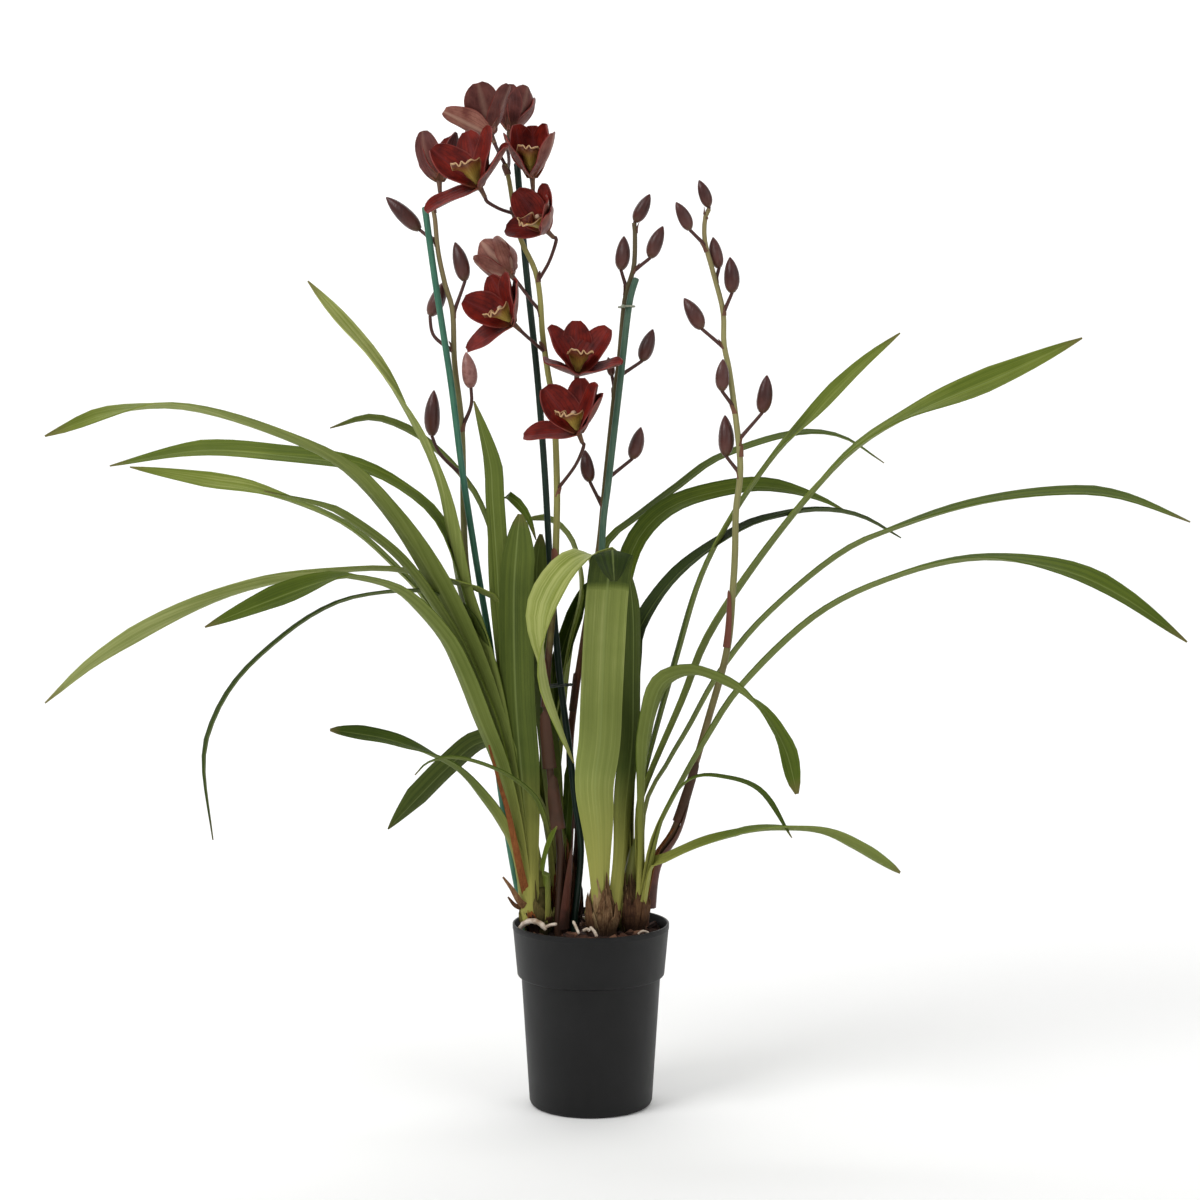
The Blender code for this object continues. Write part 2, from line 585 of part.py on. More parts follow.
def pot(parts, cutters):
    inner_foot = POT_FOOT_RADIUS - POT_WALL
    profile = [
        (0.0, POT_FLOOR),
        (inner_foot - POT_EDGE, POT_FLOOR),
        (inner_foot, POT_FLOOR + POT_EDGE),
        (POT_BODY_RADIUS - POT_WALL, POT_COLLAR_LOW),
        (POT_COLLAR_RADIUS - POT_WALL, POT_COLLAR_LOW + POT_LEDGE),
        (POT_RIM_RADIUS - POT_WALL, POT_HEIGHT - POT_LIP),
        (POT_RIM_RADIUS - POT_WALL + 0.7 * POT_LIP, POT_HEIGHT),
        (POT_RIM_RADIUS - 0.7 * POT_LIP, POT_HEIGHT),
        (POT_RIM_RADIUS, POT_HEIGHT - POT_LIP),
        (POT_COLLAR_RADIUS, POT_COLLAR_LOW + POT_LEDGE / 3),
        (POT_COLLAR_RADIUS - POT_LIP, POT_COLLAR_LOW),
        (POT_BODY_RADIUS, POT_COLLAR_LOW - POT_LEDGE / 3),
        (POT_FOOT_RADIUS, POT_EDGE),
        (POT_FOOT_RADIUS - 0.3 * POT_EDGE, 0.3 * POT_EDGE),
        (POT_FOOT_RADIUS - POT_EDGE, 0.0),
        (0.0, 0.0),
    ]
    body = settled(turned(profile, POT_STEPS))
    for i in range(DRAIN_COUNT):
        angle = math.tau * i / DRAIN_COUNT
        place = (DRAIN_RING * math.cos(angle), DRAIN_RING * math.sin(angle), 0.0)
        cut_round(place, DRAIN_RADIUS, 3 * POT_FLOOR, DRAIN_SIDES, cutters)
    pierce("pot", body, cutters, parts)


def pierce(name, made, cutters, parts):
    """Cuts the holes of a turned body, names it, gives it its finish and moves it to the parts."""
    cut = made.modifiers.new("holes", "BOOLEAN")
    cut.operation = "DIFFERENCE"
    cut.operand_type = "COLLECTION"
    cut.collection = cutters
    made.name = name
    made.data.name = name
    made.data.shade_smooth()
    made.data.set_sharp_from_angle(angle=SHARP_ANGLE)
    made.data.materials.append(new_finish(name))
    bpy.context.scene.collection.objects.unlink(made)
    parts.objects.link(made)


def cut_round(place, radius, length, sides, cutters):
    """A hidden round cutter, centred on the place."""
    shape = bmesh.new()
    bmesh.ops.create_cone(
        shape, cap_ends=True, segments=sides, radius1=radius, radius2=radius, depth=length
    )
    mesh = bpy.data.meshes.new("cutter")
    shape.to_mesh(mesh)
    shape.free()
    made = bpy.data.objects.new("cutter", mesh)
    made.location = place
    made.hide_render = True
    made.display_type = "WIRE"
    cutters.objects.link(made)


def inner_radius(height):
    """The pot's inner radius at this height in its body or collar."""
    if height > POT_COLLAR_LOW + POT_LEDGE:
        low, high = POT_COLLAR_LOW + POT_LEDGE, POT_HEIGHT
        near, far = POT_COLLAR_RADIUS, POT_RIM_RADIUS
    else:
        low, high = POT_EDGE, POT_COLLAR_LOW
        near, far = POT_FOOT_RADIUS, POT_BODY_RADIUS
    return near + (far - near) * (height - low) / (high - low) - POT_WALL


def bark_height(x, y):
    """The relief of bark pieces: each cell has its own level and slope."""
    place = Vector((x / BARK_SIZE, y / BARK_SIZE, 0.37))
    _, corners = noise.voronoi(place)
    level = noise.cell(corners[0] * 3.1)
    slope = noise.cell_vector(corners[0] * 5.3)
    offset = place - corners[0]
    return BARK_RELIEF * (level - 0.5 + 0.8 * (slope - Vector((0.5, 0.5, 0.5))).dot(offset))


def foot_radius(name):
    return STAKE_RADIUS if name in STAKES else STEM_RADIUS * 1.1


def hole_depth(name):
    return STAKE_HOLE_DEPTH if name in STAKES else HOLE_DEPTH


def potting_mix(parts, cutters):
    low = POT_FLOOR + GAP
    heights = (POT_COLLAR_LOW + 2 * POT_LEDGE, POT_COLLAR_LOW - MIX_CLEARANCE, 3 * POT_EDGE)
    top_radius = inner_radius(MIX_TOP) - 1.5 * MIX_CLEARANCE
    profile = [(top_radius * i / MIX_RINGS, MIX_TOP) for i in range(MIX_RINGS + 1)]
    profile += [(inner_radius(height) - MIX_CLEARANCE, height) for height in heights]
    profile += [(inner_radius(POT_EDGE) - 1.2 * POT_EDGE, low), (0.0, low)]
    body = settled(turned(profile, POT_STEPS))
    for vertex in body.data.vertices:
        x, y, z = vertex.co
        if z > MIX_TOP - GAP and math.hypot(x, y) < top_radius - GAP:
            vertex.co.z += bark_height(x, y)
    for x, y, _ in BULBS.values():
        place = (x * MM, y * MM, MIX_TOP)
        cut_round(place, BULB_FOOT_RADIUS + HOLE_CLEARANCE, 2 * HOLE_DEPTH, 10, cutters)
    for name, (x, y) in FEET.items():
        place = (x * MM, y * MM, MIX_TOP)
        cut_round(place, foot_radius(name) + HOLE_CLEARANCE, 2 * hole_depth(name), 8, cutters)
    pierce("potting_mix", body, cutters, parts)


def bulb(side, finish, parts):
    """A bulb wrapped in dry sheaths, with its foot in the mix and a socket for the leaves."""
    x, y, radius = BULBS[side]
    radius *= MM
    foot = MIX_TOP - HOLE_DEPTH + GAP
    low = MIX_TOP + 1.5 * BARK_RELIEF
    rim = 2 * SHEATH_THICKNESS
    profile = [
        (0.0, BULB_TOP - SOCKET_DEPTH),
        (SOCKET_RADIUS, BULB_TOP - SOCKET_DEPTH),
        (SOCKET_RADIUS, BULB_TOP),
        (SOCKET_RADIUS + rim, BULB_TOP - GAP),
        (radius * 0.93, BULB_TOP - 0.55 * BULB_WIDEST),
        (radius, BULB_TOP - BULB_WIDEST),
        (radius * 0.90, low + 0.25 * BULB_WIDEST),
        (BULB_FOOT_RADIUS, low),
        (BULB_FOOT_RADIUS, foot),
        (0.0, foot),
    ]
    body = turned(profile, BULB_SIDES)
    body.location = (x * MM, y * MM, 0.0)
    pieces = [settled(body)]
    for turn, rise in SHEATHS[side]:
        pieces.append(dry_sheath(Vector((x * MM, y * MM, 0.0)), radius, turn, rise * MM))
    if side in DRY_BLADES:
        route, width = DRY_BLADES[side]
        places = sighted_route(route)
        root = Vector((x * MM, y * MM, BULB_TOP - BULB_WIDEST))
        outward = (places[0] - root) * Vector((1, 1, 0))
        root += outward.normalized() * (radius - rim)
        places = flow([root, *places], DRY_BLADE_SEGMENTS)
        turns = (DRY_BLADE_TURN, DRY_BLADE_TURN)
        pieces.append(strap(places, width * MM, turns, SHEATH_THICKNESS, 0.0, sheath_breadth))
    fuse("bulb_" + side, pieces, finish, parts)


def sheath_breadth(t):
    return max(0.12, min(1.0, 1.15 - t) ** 0.8)


def dry_sheath(centre, radius, turn, rise):
    """A pointed dry flap that hugs the bulb's side and leans out at its tip."""
    out = Vector((math.cos(math.radians(turn)), math.sin(math.radians(turn)), 0.0))
    round_it = Vector((-out.y, out.x, 0.0))
    low, high = MIX_TOP + 3 * BARK_RELIEF, BULB_TOP + rise
    rows = []
    for i in range(SHEATH_STEPS + 1):
        t = i / SHEATH_STEPS
        height = low + (high - low) * t
        hug = radius * (0.86 + 0.14 * math.sin(math.pi * min(1.0, t * 1.6)))
        reach = hug + SHEATH_LEAN * t * t
        half = radius * 0.80 * max(0.10, 1.0 - t**1.7)
        row = []
        for s in (-1.0, 0.0, 1.0):
            place = centre + out * (reach - abs(s) * half * 0.35) + round_it * (s * half)
            row.append(place + Vector((0.0, 0.0, height)))
        rows.append(row)
    return sheet(rows, SHEATH_THICKNESS)


def leaf_set(side, finish, parts):
    """All the leaves of one bulb, fused at a core whose foot stands in the bulb's socket."""
    x, y, _ = BULBS[side]
    axis = Vector((x * MM, y * MM, BULB_TOP))
    low_radius = SOCKET_RADIUS - SOCKET_CLEARANCE
    stations = [(GAP - SOCKET_DEPTH, low_radius), (0.0, low_radius), *CORE_FOOT]
    route, upper_radii = CORES[side]
    foot = [axis + Vector((0.0, 0.0, height)) for height, _ in stations]
    radii = [radius for _, radius in stations] + [radius * MM for radius in upper_radii]
    upper = sighted_route(route)
    pieces = [tube([*foot, *upper], radii, sides=8)]
    for route, width, turns in LEAVES[side]:
        places = [splayed(*point) for point in route]
        root = leaf_root([foot[-1], *upper[:-1]], places[0].z - LEAF_SINK)
        flat = width * MM < FLAT_LEAF_WIDTH
        segments = min(LEAF_SEGMENTS - flat, len(route) + 1)
        fold = 0.0 if flat else LEAF_FOLD
        places = flow([root, *places], segments)
        pieces.append(strap(places, width * MM, turns, LEAF_THICKNESS, fold))
    fuse("leaves_" + side, pieces, finish, parts)


def leaf_root(core, limit):
    """The highest place on the core that is below the limit, or else its lowest."""
    below = [place for place in core if place.z < limit]
    return below[-1] if below else core[0]


def footed(name, route, segments):
    """The places of a rod that stands straight in its hole and then follows its route."""
    x, y = FEET[name]
    low = Vector((x * MM, y * MM, MIX_TOP - hole_depth(name) + GAP))
    high = Vector((x * MM, y * MM, MIX_TOP + 2.3 * BARK_RELIEF))
    return [low, *flow([high, *sighted_route(route)], segments)]


def stake(name, finish, parts):
    places = footed(name, STAKES[name], STAKE_SEGMENTS)
    fuse(name, [tube(places, [STAKE_RADIUS] * len(places))], finish, parts)


def bud(places):
    """A closed bud on its stalk, pointed at the tip, from the tip down to the stem."""
    tip, base = places[0], places[1]
    length = (base - tip).length
    radius = min(BUD_RADIUS, BUD_SLIMNESS * length)
    body = [tip.lerp(base, share) for share, _ in BUD_SHAPE]
    stalk = flow([tip.lerp(base, 0.9), *places[1:]], 2)
    return [
        tube(body, [radius * size for _, size in BUD_SHAPE], BUD_SIDES),
        tube(stalk, [STALK_RADIUS * 1.2] * 2 + [STALK_RADIUS * 1.5], sides=4),
    ]


def bloom_frame(facing, turn):
    """Right, up and facing directions of a bloom, as the columns of a matrix."""
    axis = Vector(facing).normalized()
    up = (Vector((0.0, 0.0, 1.0)) - axis * axis.z).normalized()
    frame = Matrix((up.cross(axis), up, axis)).transposed()
    return frame @ Matrix.Rotation(math.radians(turn), 3, "Z")


def nearest_on(places, start):
    """The place on a line of places that is nearest to this one."""
    nearest = []
    for low, high in zip(places, places[1:]):
        _, share = intersect_point_line(start, low, high)
        nearest.append(low.lerp(high, min(1.0, max(0.0, share))))
    return min(nearest, key=lambda place: (place - start).length)


def bloom_stalk(name, stem):
    """The stalk that carries a bloom, ending just short of its ovary and in line with it."""
    seat, facing, _, _, _, _, route = BLOOMS[name]
    seat = sighted(*seat)
    axis = Vector(facing).normalized()
    last = seat - axis * GAP
    first, *others = sighted_route(route)
    places = flow([nearest_on(stem, first), *others, last - axis * 0.004], 3) + [last]
    radii = [STALK_RADIUS * 1.3] * (len(places) - 1) + [STALK_RADIUS * 1.5]
    return tube(places, radii, STALK_SIDES)


def spike(name, finish, parts):
    places = footed(name, SPIKES[name], STEM_SEGMENTS)
    count = len(places)
    radii = [STEM_RADIUS * (1.1 - 0.45 * (i / count) ** 2) for i in range(count)]
    pieces = [tube(places, radii)]
    for route in BUDS.get(name, []):
        *others, last = sighted_route(route)
        pieces += bud([*others, nearest_on(places, last)])
    for flower, spec in BLOOMS.items():
        if spec[5] == name:
            pieces.append(bloom_stalk(flower, places))
    fuse(name, pieces, finish, parts)


def tepal_breadth(t):
    """A tepal's share of its full width: a narrow claw, broad past the middle, a blunt point."""
    return max(0.12, math.sin(math.pi * (0.02 + 0.93 * t)) ** 0.8)


def tepal(frame, centre, angle, opening, size, width):
    """A sepal or petal: it leaves the centre at one angle to the axis and curls to another."""
    start, end = opening
    turn = math.radians(angle)
    out = frame @ Vector((math.sin(turn), math.cos(turn), 0.0))
    side = frame @ Vector((math.cos(turn), -math.sin(turn), 0.0))
    axis = frame @ Vector((0.0, 0.0, 1.0))
    place = centre.copy()
    rows = []
    for i in range(TEPAL_STEPS + 1):
        t = i / TEPAL_STEPS
        lean = math.radians(start + (end - start) * t)
        heading = out * math.sin(lean) + axis * math.cos(lean)
        facing = axis * math.sin(lean) - out * math.cos(lean)
        half = width * size * tepal_breadth(t) / 2
        cup = facing * (half * TEPAL_CUP)
        rows.append((place - side * half + cup, place, place + side * half + cup))
        place = place + heading * (BLOOM_REACH * size / TEPAL_STEPS)
    return sheet(rows, PETAL_THICKNESS)


def bloom(name, finish, parts):
    """Three sepals, two petals, the column and the ovary."""
    seat, facing, shape, size, turn, _, _ = BLOOMS[name]
    seat = sighted(*seat)
    frame = bloom_frame(facing, turn)
    axis = frame @ Vector((0.0, 0.0, 1.0))
    up = frame @ Vector((0.0, 1.0, 0.0))
    centre = seat + axis * OVARY_LENGTH
    ovary = [seat, centre - axis * 0.003, centre + axis * 0.0022]
    radii = (OVARY_RADIUS * 0.9, OVARY_RADIUS * 1.1, OVARY_RADIUS * 1.5)
    pieces = [tube(ovary, radii)]
    for i, (angle, *opening) in enumerate(OPENING[shape]):
        width = PETAL_WIDTH if i in PETALS else SEPAL_WIDTH
        root = centre + axis * (PETAL_RISE if i in PETALS else 0.0)
        pieces.append(tepal(frame, root, angle, opening, size, width))
    column = [
        centre + up * (0.10 * COLUMN_REACH),
        centre + axis * (0.57 * COLUMN_REACH) + up * (0.26 * COLUMN_REACH),
        centre + axis * (COLUMN_REACH * size) + up * (0.14 * COLUMN_REACH),
    ]
    pieces.append(tube(column, COLUMN_RADII))
    fuse(name, pieces, finish, parts)


def lip(name, finish, parts):
    """The lip: a trough under the column, with upright side lobes and a mid lobe bent down."""
    seat, facing, shape, size, turn, _, _ = BLOOMS[name]
    frame = bloom_frame(facing, turn)
    right, up, axis = (frame @ Vector(v) for v in ((1, 0, 0), (0, 1, 0), (0, 0, 1)))
    centre = sighted(*seat) + axis * (OVARY_LENGTH + LIP_FORWARD)
    reach = CLOSED_LIP_REACH if shape == "closed" else 1.0
    rows = []
    for forward, drop, half, rise in LIP_STATIONS:
        floor = centre + (axis * (forward * reach) - up * drop) * (MM * size)
        row = []
        for s in LIP_SPREAD:
            lift = rise * abs(s) ** 1.8
            row.append(floor + (right * (half * s) + up * lift) * (MM * size))
        rows.append(row)
    fuse(name.replace("bloom", "lip"), [sheet(rows, PETAL_THICKNESS)], finish, parts)


def rod_place(name, height):
    """Where a stake or a stem passes this height."""
    if name in STAKES:
        places = footed(name, STAKES[name], STAKE_SEGMENTS)
    else:
        places = footed(name, SPIKES[name], STEM_SEGMENTS)
    for low, high in zip(places, places[1:]):
        if low.z <= height <= high.z:
            return low.lerp(high, (height - low.z) / (high.z - low.z))
    return places[-1]


def tie(name, finish, parts):
    """A round of soft wire about a stake and a stem, clear of both."""
    stake_name, spike_name, height = TIES[name]
    ends = rod_place(stake_name, height), rod_place(spike_name, height)
    along_it = (ends[1] - ends[0]).normalized()
    reach = STEM_RADIUS + TIE_RADIUS + 2 * GAP
    start = math.atan2(along_it.y, along_it.x)
    places = []
    for end, first in ((ends[1], start - math.pi / 2), (ends[0], start + math.pi / 2)):
        for i in range(4):
            angle = first + math.pi * i / 3
            places.append(end + Vector((math.cos(angle), math.sin(angle), 0.0)) * reach)
    curve = bpy.data.curves.new("tie", "CURVE")
    curve.dimensions = "3D"
    curve.bevel_depth = TIE_RADIUS
    curve.bevel_resolution = 0
    line = curve.splines.new("POLY")
    line.points.add(len(places) - 1)
    for point, place in zip(line.points, places):
        point.co = (*place, 1.0)
    line.use_cyclic_u = True
    made = bpy.data.objects.new("tie", curve)
    bpy.context.scene.collection.objects.link(made)
    fuse(name, [settled(made)], finish, parts)


def build():
    clear_scene()
    parts = new_collection("potted_cymbidium_orchid")
    drains = new_collection("drain_cutters")
    holes = new_collection("hole_cutters")
    sheath, leaf = new_finish("sheath"), new_finish("leaf")
    for side in BULBS:
        bulb(side, sheath, parts)
        leaf_set(side, leaf, parts)
    for name in STAKES:
        kind = "stake_dark" if name == "stake_middle" else "stake_teal"
        stake(name, new_finish(kind), parts)
    stem = new_finish("spike")
    for name in SPIKES:
        spike(name, stem, parts)
    petal, lip_finish = new_finish("bloom"), new_finish("lip")
    for name in BLOOMS:
        bloom(name, petal, parts)
        lip(name, lip_finish, parts)
    tie_finish = new_finish("tie")
    for name in TIES:
        tie(name, tie_finish, parts)
    potting_mix(parts, holes)
    pot(parts, drains)


build()
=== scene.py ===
# Potted cymbidium orchid: its finished look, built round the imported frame.
# Metres, +Z up. The pot's underside is at the origin and -Y faces the viewer.

import json
import random
from math import atan2, cos, pi, radians, sin, sqrt, tau

import bmesh
import bpy
from mathutils import Matrix, Vector
from mathutils.geometry import intersect_point_line

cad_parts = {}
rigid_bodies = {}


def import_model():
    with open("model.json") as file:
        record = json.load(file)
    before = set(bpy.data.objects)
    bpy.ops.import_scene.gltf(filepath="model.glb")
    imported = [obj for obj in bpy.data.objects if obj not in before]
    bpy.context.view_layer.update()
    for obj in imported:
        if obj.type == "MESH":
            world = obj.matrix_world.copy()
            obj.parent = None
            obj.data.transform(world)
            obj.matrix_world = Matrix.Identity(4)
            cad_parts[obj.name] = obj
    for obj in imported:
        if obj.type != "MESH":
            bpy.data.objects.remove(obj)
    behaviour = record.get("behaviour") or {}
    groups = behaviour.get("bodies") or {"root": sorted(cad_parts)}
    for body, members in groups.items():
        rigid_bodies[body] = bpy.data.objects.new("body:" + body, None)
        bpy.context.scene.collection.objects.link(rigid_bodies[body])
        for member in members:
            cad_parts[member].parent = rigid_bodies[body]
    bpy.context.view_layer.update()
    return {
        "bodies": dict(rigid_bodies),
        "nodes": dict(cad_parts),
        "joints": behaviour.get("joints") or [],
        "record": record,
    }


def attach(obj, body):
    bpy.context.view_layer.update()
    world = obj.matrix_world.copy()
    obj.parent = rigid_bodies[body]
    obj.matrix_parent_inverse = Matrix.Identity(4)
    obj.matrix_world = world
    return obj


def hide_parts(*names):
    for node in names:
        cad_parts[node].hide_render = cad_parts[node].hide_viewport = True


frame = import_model()
print("frame loaded:", len(frame["nodes"]), "nodes")

mm = 0.001

# the front view that all routes are read off: pixels across and down its 1200 by 1200 frame, then
# millimetres behind the pot's axis
view = {"eye": Vector((0.007, -1.70, 0.4865)), "pitch": 3.34, "reach": 2240.0, "middle": 600.0,
        "lens": 67.2, "sensor": 36.0}


def sighted(across, down, depth):
    pitch = radians(view["pitch"])
    right, up = across - view["middle"], view["middle"] - down
    ahead = view["reach"] * cos(pitch) + up * sin(pitch)
    rise = up * cos(pitch) - view["reach"] * sin(pitch)
    scale = (depth * mm - view["eye"].y) / ahead
    return Vector((view["eye"].x + right * scale, depth * mm, view["eye"].z + rise * scale))


def flow(points, segments):  # evenly spaced places on a smooth curve through the points
    ends = [points[0] * 2 - points[1], *points, points[-1] * 2 - points[-2]]
    fine = []
    for p0, p1, p2, p3 in zip(ends, ends[1:], ends[2:], ends[3:]):
        for k in range(16):
            t = k / 16
            fine.append((p1 * 2 + (p2 - p0) * t + (p0 * 2 - p1 * 5 + p2 * 4 - p3) * t**2
                         + (p1 * 3 - p0 - p2 * 3 + p3) * t**3) / 2)
    fine.append(points[-1].copy())
    lengths = [0.0]
    for a, b in zip(fine, fine[1:]):
        lengths.append(lengths[-1] + (b - a).length)
    spaced = []
    j = 0
    for i in range(segments + 1):
        wanted = lengths[-1] * i / segments
        while j < len(fine) - 2 and lengths[j + 1] < wanted:
            j += 1
        span = max(lengths[j + 1] - lengths[j], 1e-9)
        spaced.append(fine[j].lerp(fine[j + 1], (wanted - lengths[j]) / span))
    return spaced


def clamped(share):
    return max(0.0, min(1.0, share))


def softened(share):  # starts and ends gently
    return share * share * (3 - 2 * share)


def along(values, t, bend=None):  # the value at t, from 0 to 1, between values at even steps
    place = t * (len(values) - 1)
    low = min(int(place), len(values) - 2)
    share = bend(place - low) if bend else place - low
    return values[low] + (values[low + 1] - values[low]) * share


def eased(values, t):  # the same, with rounded corners
    return along(values, t, softened)


# everyday steps

def pick(piece):
    if bpy.context.object and bpy.context.object.mode != "OBJECT":
        bpy.ops.object.mode_set(mode="OBJECT")
    bpy.ops.object.select_all(action="DESELECT")
    if piece:
        piece.select_set(True)
        bpy.context.view_layer.objects.active = piece


def applyAll(piece):
    pick(piece)
    for modifier in list(piece.modifiers):
        bpy.ops.object.modifier_apply(modifier=modifier.name)
    return piece


def smoothed(piece, angle=40):
    pick(piece)
    bpy.ops.object.shade_smooth_by_angle(angle=radians(angle))
    return piece


def joined(name, pieces):
    pick(pieces[0])
    for piece in pieces[1:]:
        piece.select_set(True)
    if len(pieces) > 1:
        bpy.ops.object.join()
    pieces[0].name = name
    pieces[0].data.name = name
    return pieces[0]


def editAll():  # edit mode with everything selected
    bpy.ops.object.mode_set(mode="EDIT")
    bpy.ops.mesh.select_all(action="SELECT")


def closeEdit():  # object mode again, with the normals outwards
    bpy.ops.mesh.normals_make_consistent(inside=False)
    bpy.ops.object.mode_set(mode="OBJECT")


def linked(name, data):
    made = bpy.data.objects.new(name, data)
    bpy.context.scene.collection.objects.link(made)
    return made


def copied(piece, name):
    return linked(name, piece.data.copy())


def skinned(piece, *materials):
    piece.data.materials.clear()
    for material in materials:
        piece.data.materials.append(material)
    return piece


def unitGrid(columns, rows):
    pick(None)
    bpy.ops.mesh.primitive_grid_add(x_subdivisions=columns, y_subdivisions=rows, size=1)
    return bpy.context.object


def gridPlaces(grid):  # each point of a unit grid, how far along it is and how far to the side
    for vertex in grid.data.vertices:
        yield vertex, vertex.co.y + 0.5, vertex.co.x * 2


def walled(piece, thickness, angle, offset=-1.0, inner=0):  # gives a thin piece its wall
    wall = piece.modifiers.new("wall", "SOLIDIFY")
    wall.thickness = thickness
    wall.offset = offset
    wall.material_offset = inner
    return smoothed(applyAll(piece), angle)


def plainName(name):  # stake_left becomes stakeLeft
    first, *rest = name.split("_")
    return first + "".join(part.capitalize() for part in rest)


def handOver(piece, slotName, *nodes):  # rides on the pot's body and stands for its solids
    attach(piece, "root")
    if nodes:
        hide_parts(*nodes)
    print("made", piece.name, len(piece.data.polygons), "faces")


def gathered(pieces, slotName, node):  # one piece for the node, under the node's plain name
    handOver(joined(plainName(node), pieces), slotName, node)


def paintNumber(piece, name, value):  # a number on every point, for the materials
    layer = piece.data.attributes.new(name, "FLOAT", "POINT")
    layer.data.foreach_set("value", [value] * len(piece.data.vertices))


def rodAlong(name, places, radii, sides, material):
    curve = bpy.data.curves.new(name, "CURVE")
    curve.dimensions = "3D"
    curve.bevel_depth = 1.0
    curve.bevel_resolution = (sides - 4) // 2
    curve.use_fill_caps = True
    line = curve.splines.new("POLY")
    line.points.add(len(places) - 1)
    for point, place, radius in zip(line.points, places, radii):
        point.co = (*place, 1.0)
        point.radius = radius
    made = linked(name, curve)
    pick(made)
    bpy.ops.object.convert(target="MESH")
    editAll()
    bpy.ops.mesh.remove_doubles(threshold=1e-6)
    closeEdit()
    return smoothed(skinned(made, material), 50)


def taperedRod(name, points, steps, radiusAt, sides, material):
    radii = [radiusAt(k / steps) for k in range(steps + 1)]
    return rodAlong(name, flow(points, steps), radii, sides, material)


def turnedShell(name, outline, sides):  # from a disc at the first (radius, height), ring by ring
    pick(None)
    radius, height = outline[0]
    bpy.ops.mesh.primitive_circle_add(vertices=sides, radius=radius, location=(0, 0, height),
                                      fill_type="NGON")
    made = bpy.context.object
    made.name = name
    editAll()
    for (near, low), (far, high) in zip(outline, outline[1:]):
        bpy.ops.mesh.extrude_region_move(TRANSFORM_OT_translate={"value": (0, 0, high - low)})
        bpy.ops.transform.resize(value=(far / near, far / near, 1), center_override=(0, 0, high))
    bpy.ops.mesh.select_all(action="SELECT")
    closeEdit()
    bpy.ops.object.transform_apply(location=True, rotation=True, scale=True)
    return made


# material building

def ownPlace(material):
    return addNode(material, "TexCoord").outputs["Object"]


def startMaterial(name, roughness, specular):
    made = bpy.data.materials.new(name)
    made.use_nodes = True
    shader = made.node_tree.nodes["Principled BSDF"]
    shader.inputs["Roughness"].default_value = roughness
    shader.inputs["Specular IOR Level"].default_value = specular
    return made, ownPlace(made)


def addNode(material, kind, links=None, values=None, **settings):
    tree = material.node_tree
    node = tree.nodes.new("ShaderNode" + kind)
    for key, value in settings.items():
        setattr(node, key, value)
    for key, value in (values or {}).items():
        node.inputs[key].default_value = value
    for key, source in (links or {}).items():
        tree.links.new(source, node.inputs[key])
    return node


def calc(material, operation, first, second=0.0, third=0.0):
    node = addNode(material, "Math", operation=operation)
    for socket, value in zip(node.inputs, (first, second, third)):
        if isinstance(value, (int, float)):
            socket.default_value = value
        else:
            material.node_tree.links.new(value, socket)
    return node.outputs[0]


def times(material, first, second):
    return calc(material, "MULTIPLY", first, second)


def scaledSum(material, first, scale, added):
    return calc(material, "MULTIPLY_ADD", first, scale, added)


def offHalf(material, value):
    return calc(material, "SUBTRACT", value, 0.5)


def fromMiddle(material, across):
    return calc(material, "ABSOLUTE", offHalf(material, across))


def faded(material, value, low, high, first=0.0, last=1.0):  # from first at low to last at high
    return addNode(material, "MapRange", {"Value": value}, {"From Min": low, "From Max": high,
                   "To Min": first, "To Max": last}).outputs["Result"]


def attributeOf(material, name):
    return addNode(material, "Attribute", attribute_name=name).outputs["Fac"]


def heightOf(material):
    return addNode(material, "SeparateXYZ", {"Vector": ownPlace(material)}).outputs["Z"]


def uvParts(material):  # the blade's own map, and its parts across and along
    uv = addNode(material, "UVMap", uv_map="UVMap").outputs["UV"]
    split = addNode(material, "SeparateXYZ", {"Vector": uv})
    return uv, split.outputs["X"], split.outputs["Y"]


def ramp(material, factor, stops):
    node = addNode(material, "ValToRGB", {"Fac": factor})
    band = node.color_ramp
    band.elements[0].position, band.elements[0].color = stops[0][0], (*stops[0][1], 1)
    band.elements[1].position, band.elements[1].color = stops[-1][0], (*stops[-1][1], 1)
    for place, colour in stops[1:-1]:
        band.elements.new(place).color = (*colour, 1)
    return node.outputs["Color"]


def blendColours(material, factor, first, second):
    node = addNode(material, "Mix", data_type="RGBA")
    pairs = ((node.inputs["Factor"], factor), (node.inputs[6], first), (node.inputs[7], second))
    for socket, value in pairs:
        if isinstance(value, (int, float)):
            socket.default_value = value
        elif isinstance(value, tuple):
            socket.default_value = (*value, 1)
        else:
            material.node_tree.links.new(value, socket)
    return node.outputs[2]


def noiseAt(material, vector, scale, detail=3.0, roughness=0.55):
    node = addNode(material, "TexNoise", {"Vector": vector},
                   {"Scale": scale, "Detail": detail, "Roughness": roughness})
    return node.outputs["Fac"]


def stretched(material, vector, scale):
    return addNode(material, "Mapping", {"Vector": vector}, {"Scale": scale}).outputs["Vector"]


def finishMaterial(material, colour, height=None, distance=0.2 * mm, roughness=None):
    links = material.node_tree.links
    shader = material.node_tree.nodes["Principled BSDF"]
    links.new(colour, shader.inputs["Base Color"])
    if roughness is not None:
        links.new(roughness, shader.inputs["Roughness"])
    if height is not None:
        bump = addNode(material, "Bump", {"Height": height}, {"Strength": 1.0, "Distance": distance})
        links.new(bump.outputs["Normal"], shader.inputs["Normal"])
    return material


# camera, floor and lights

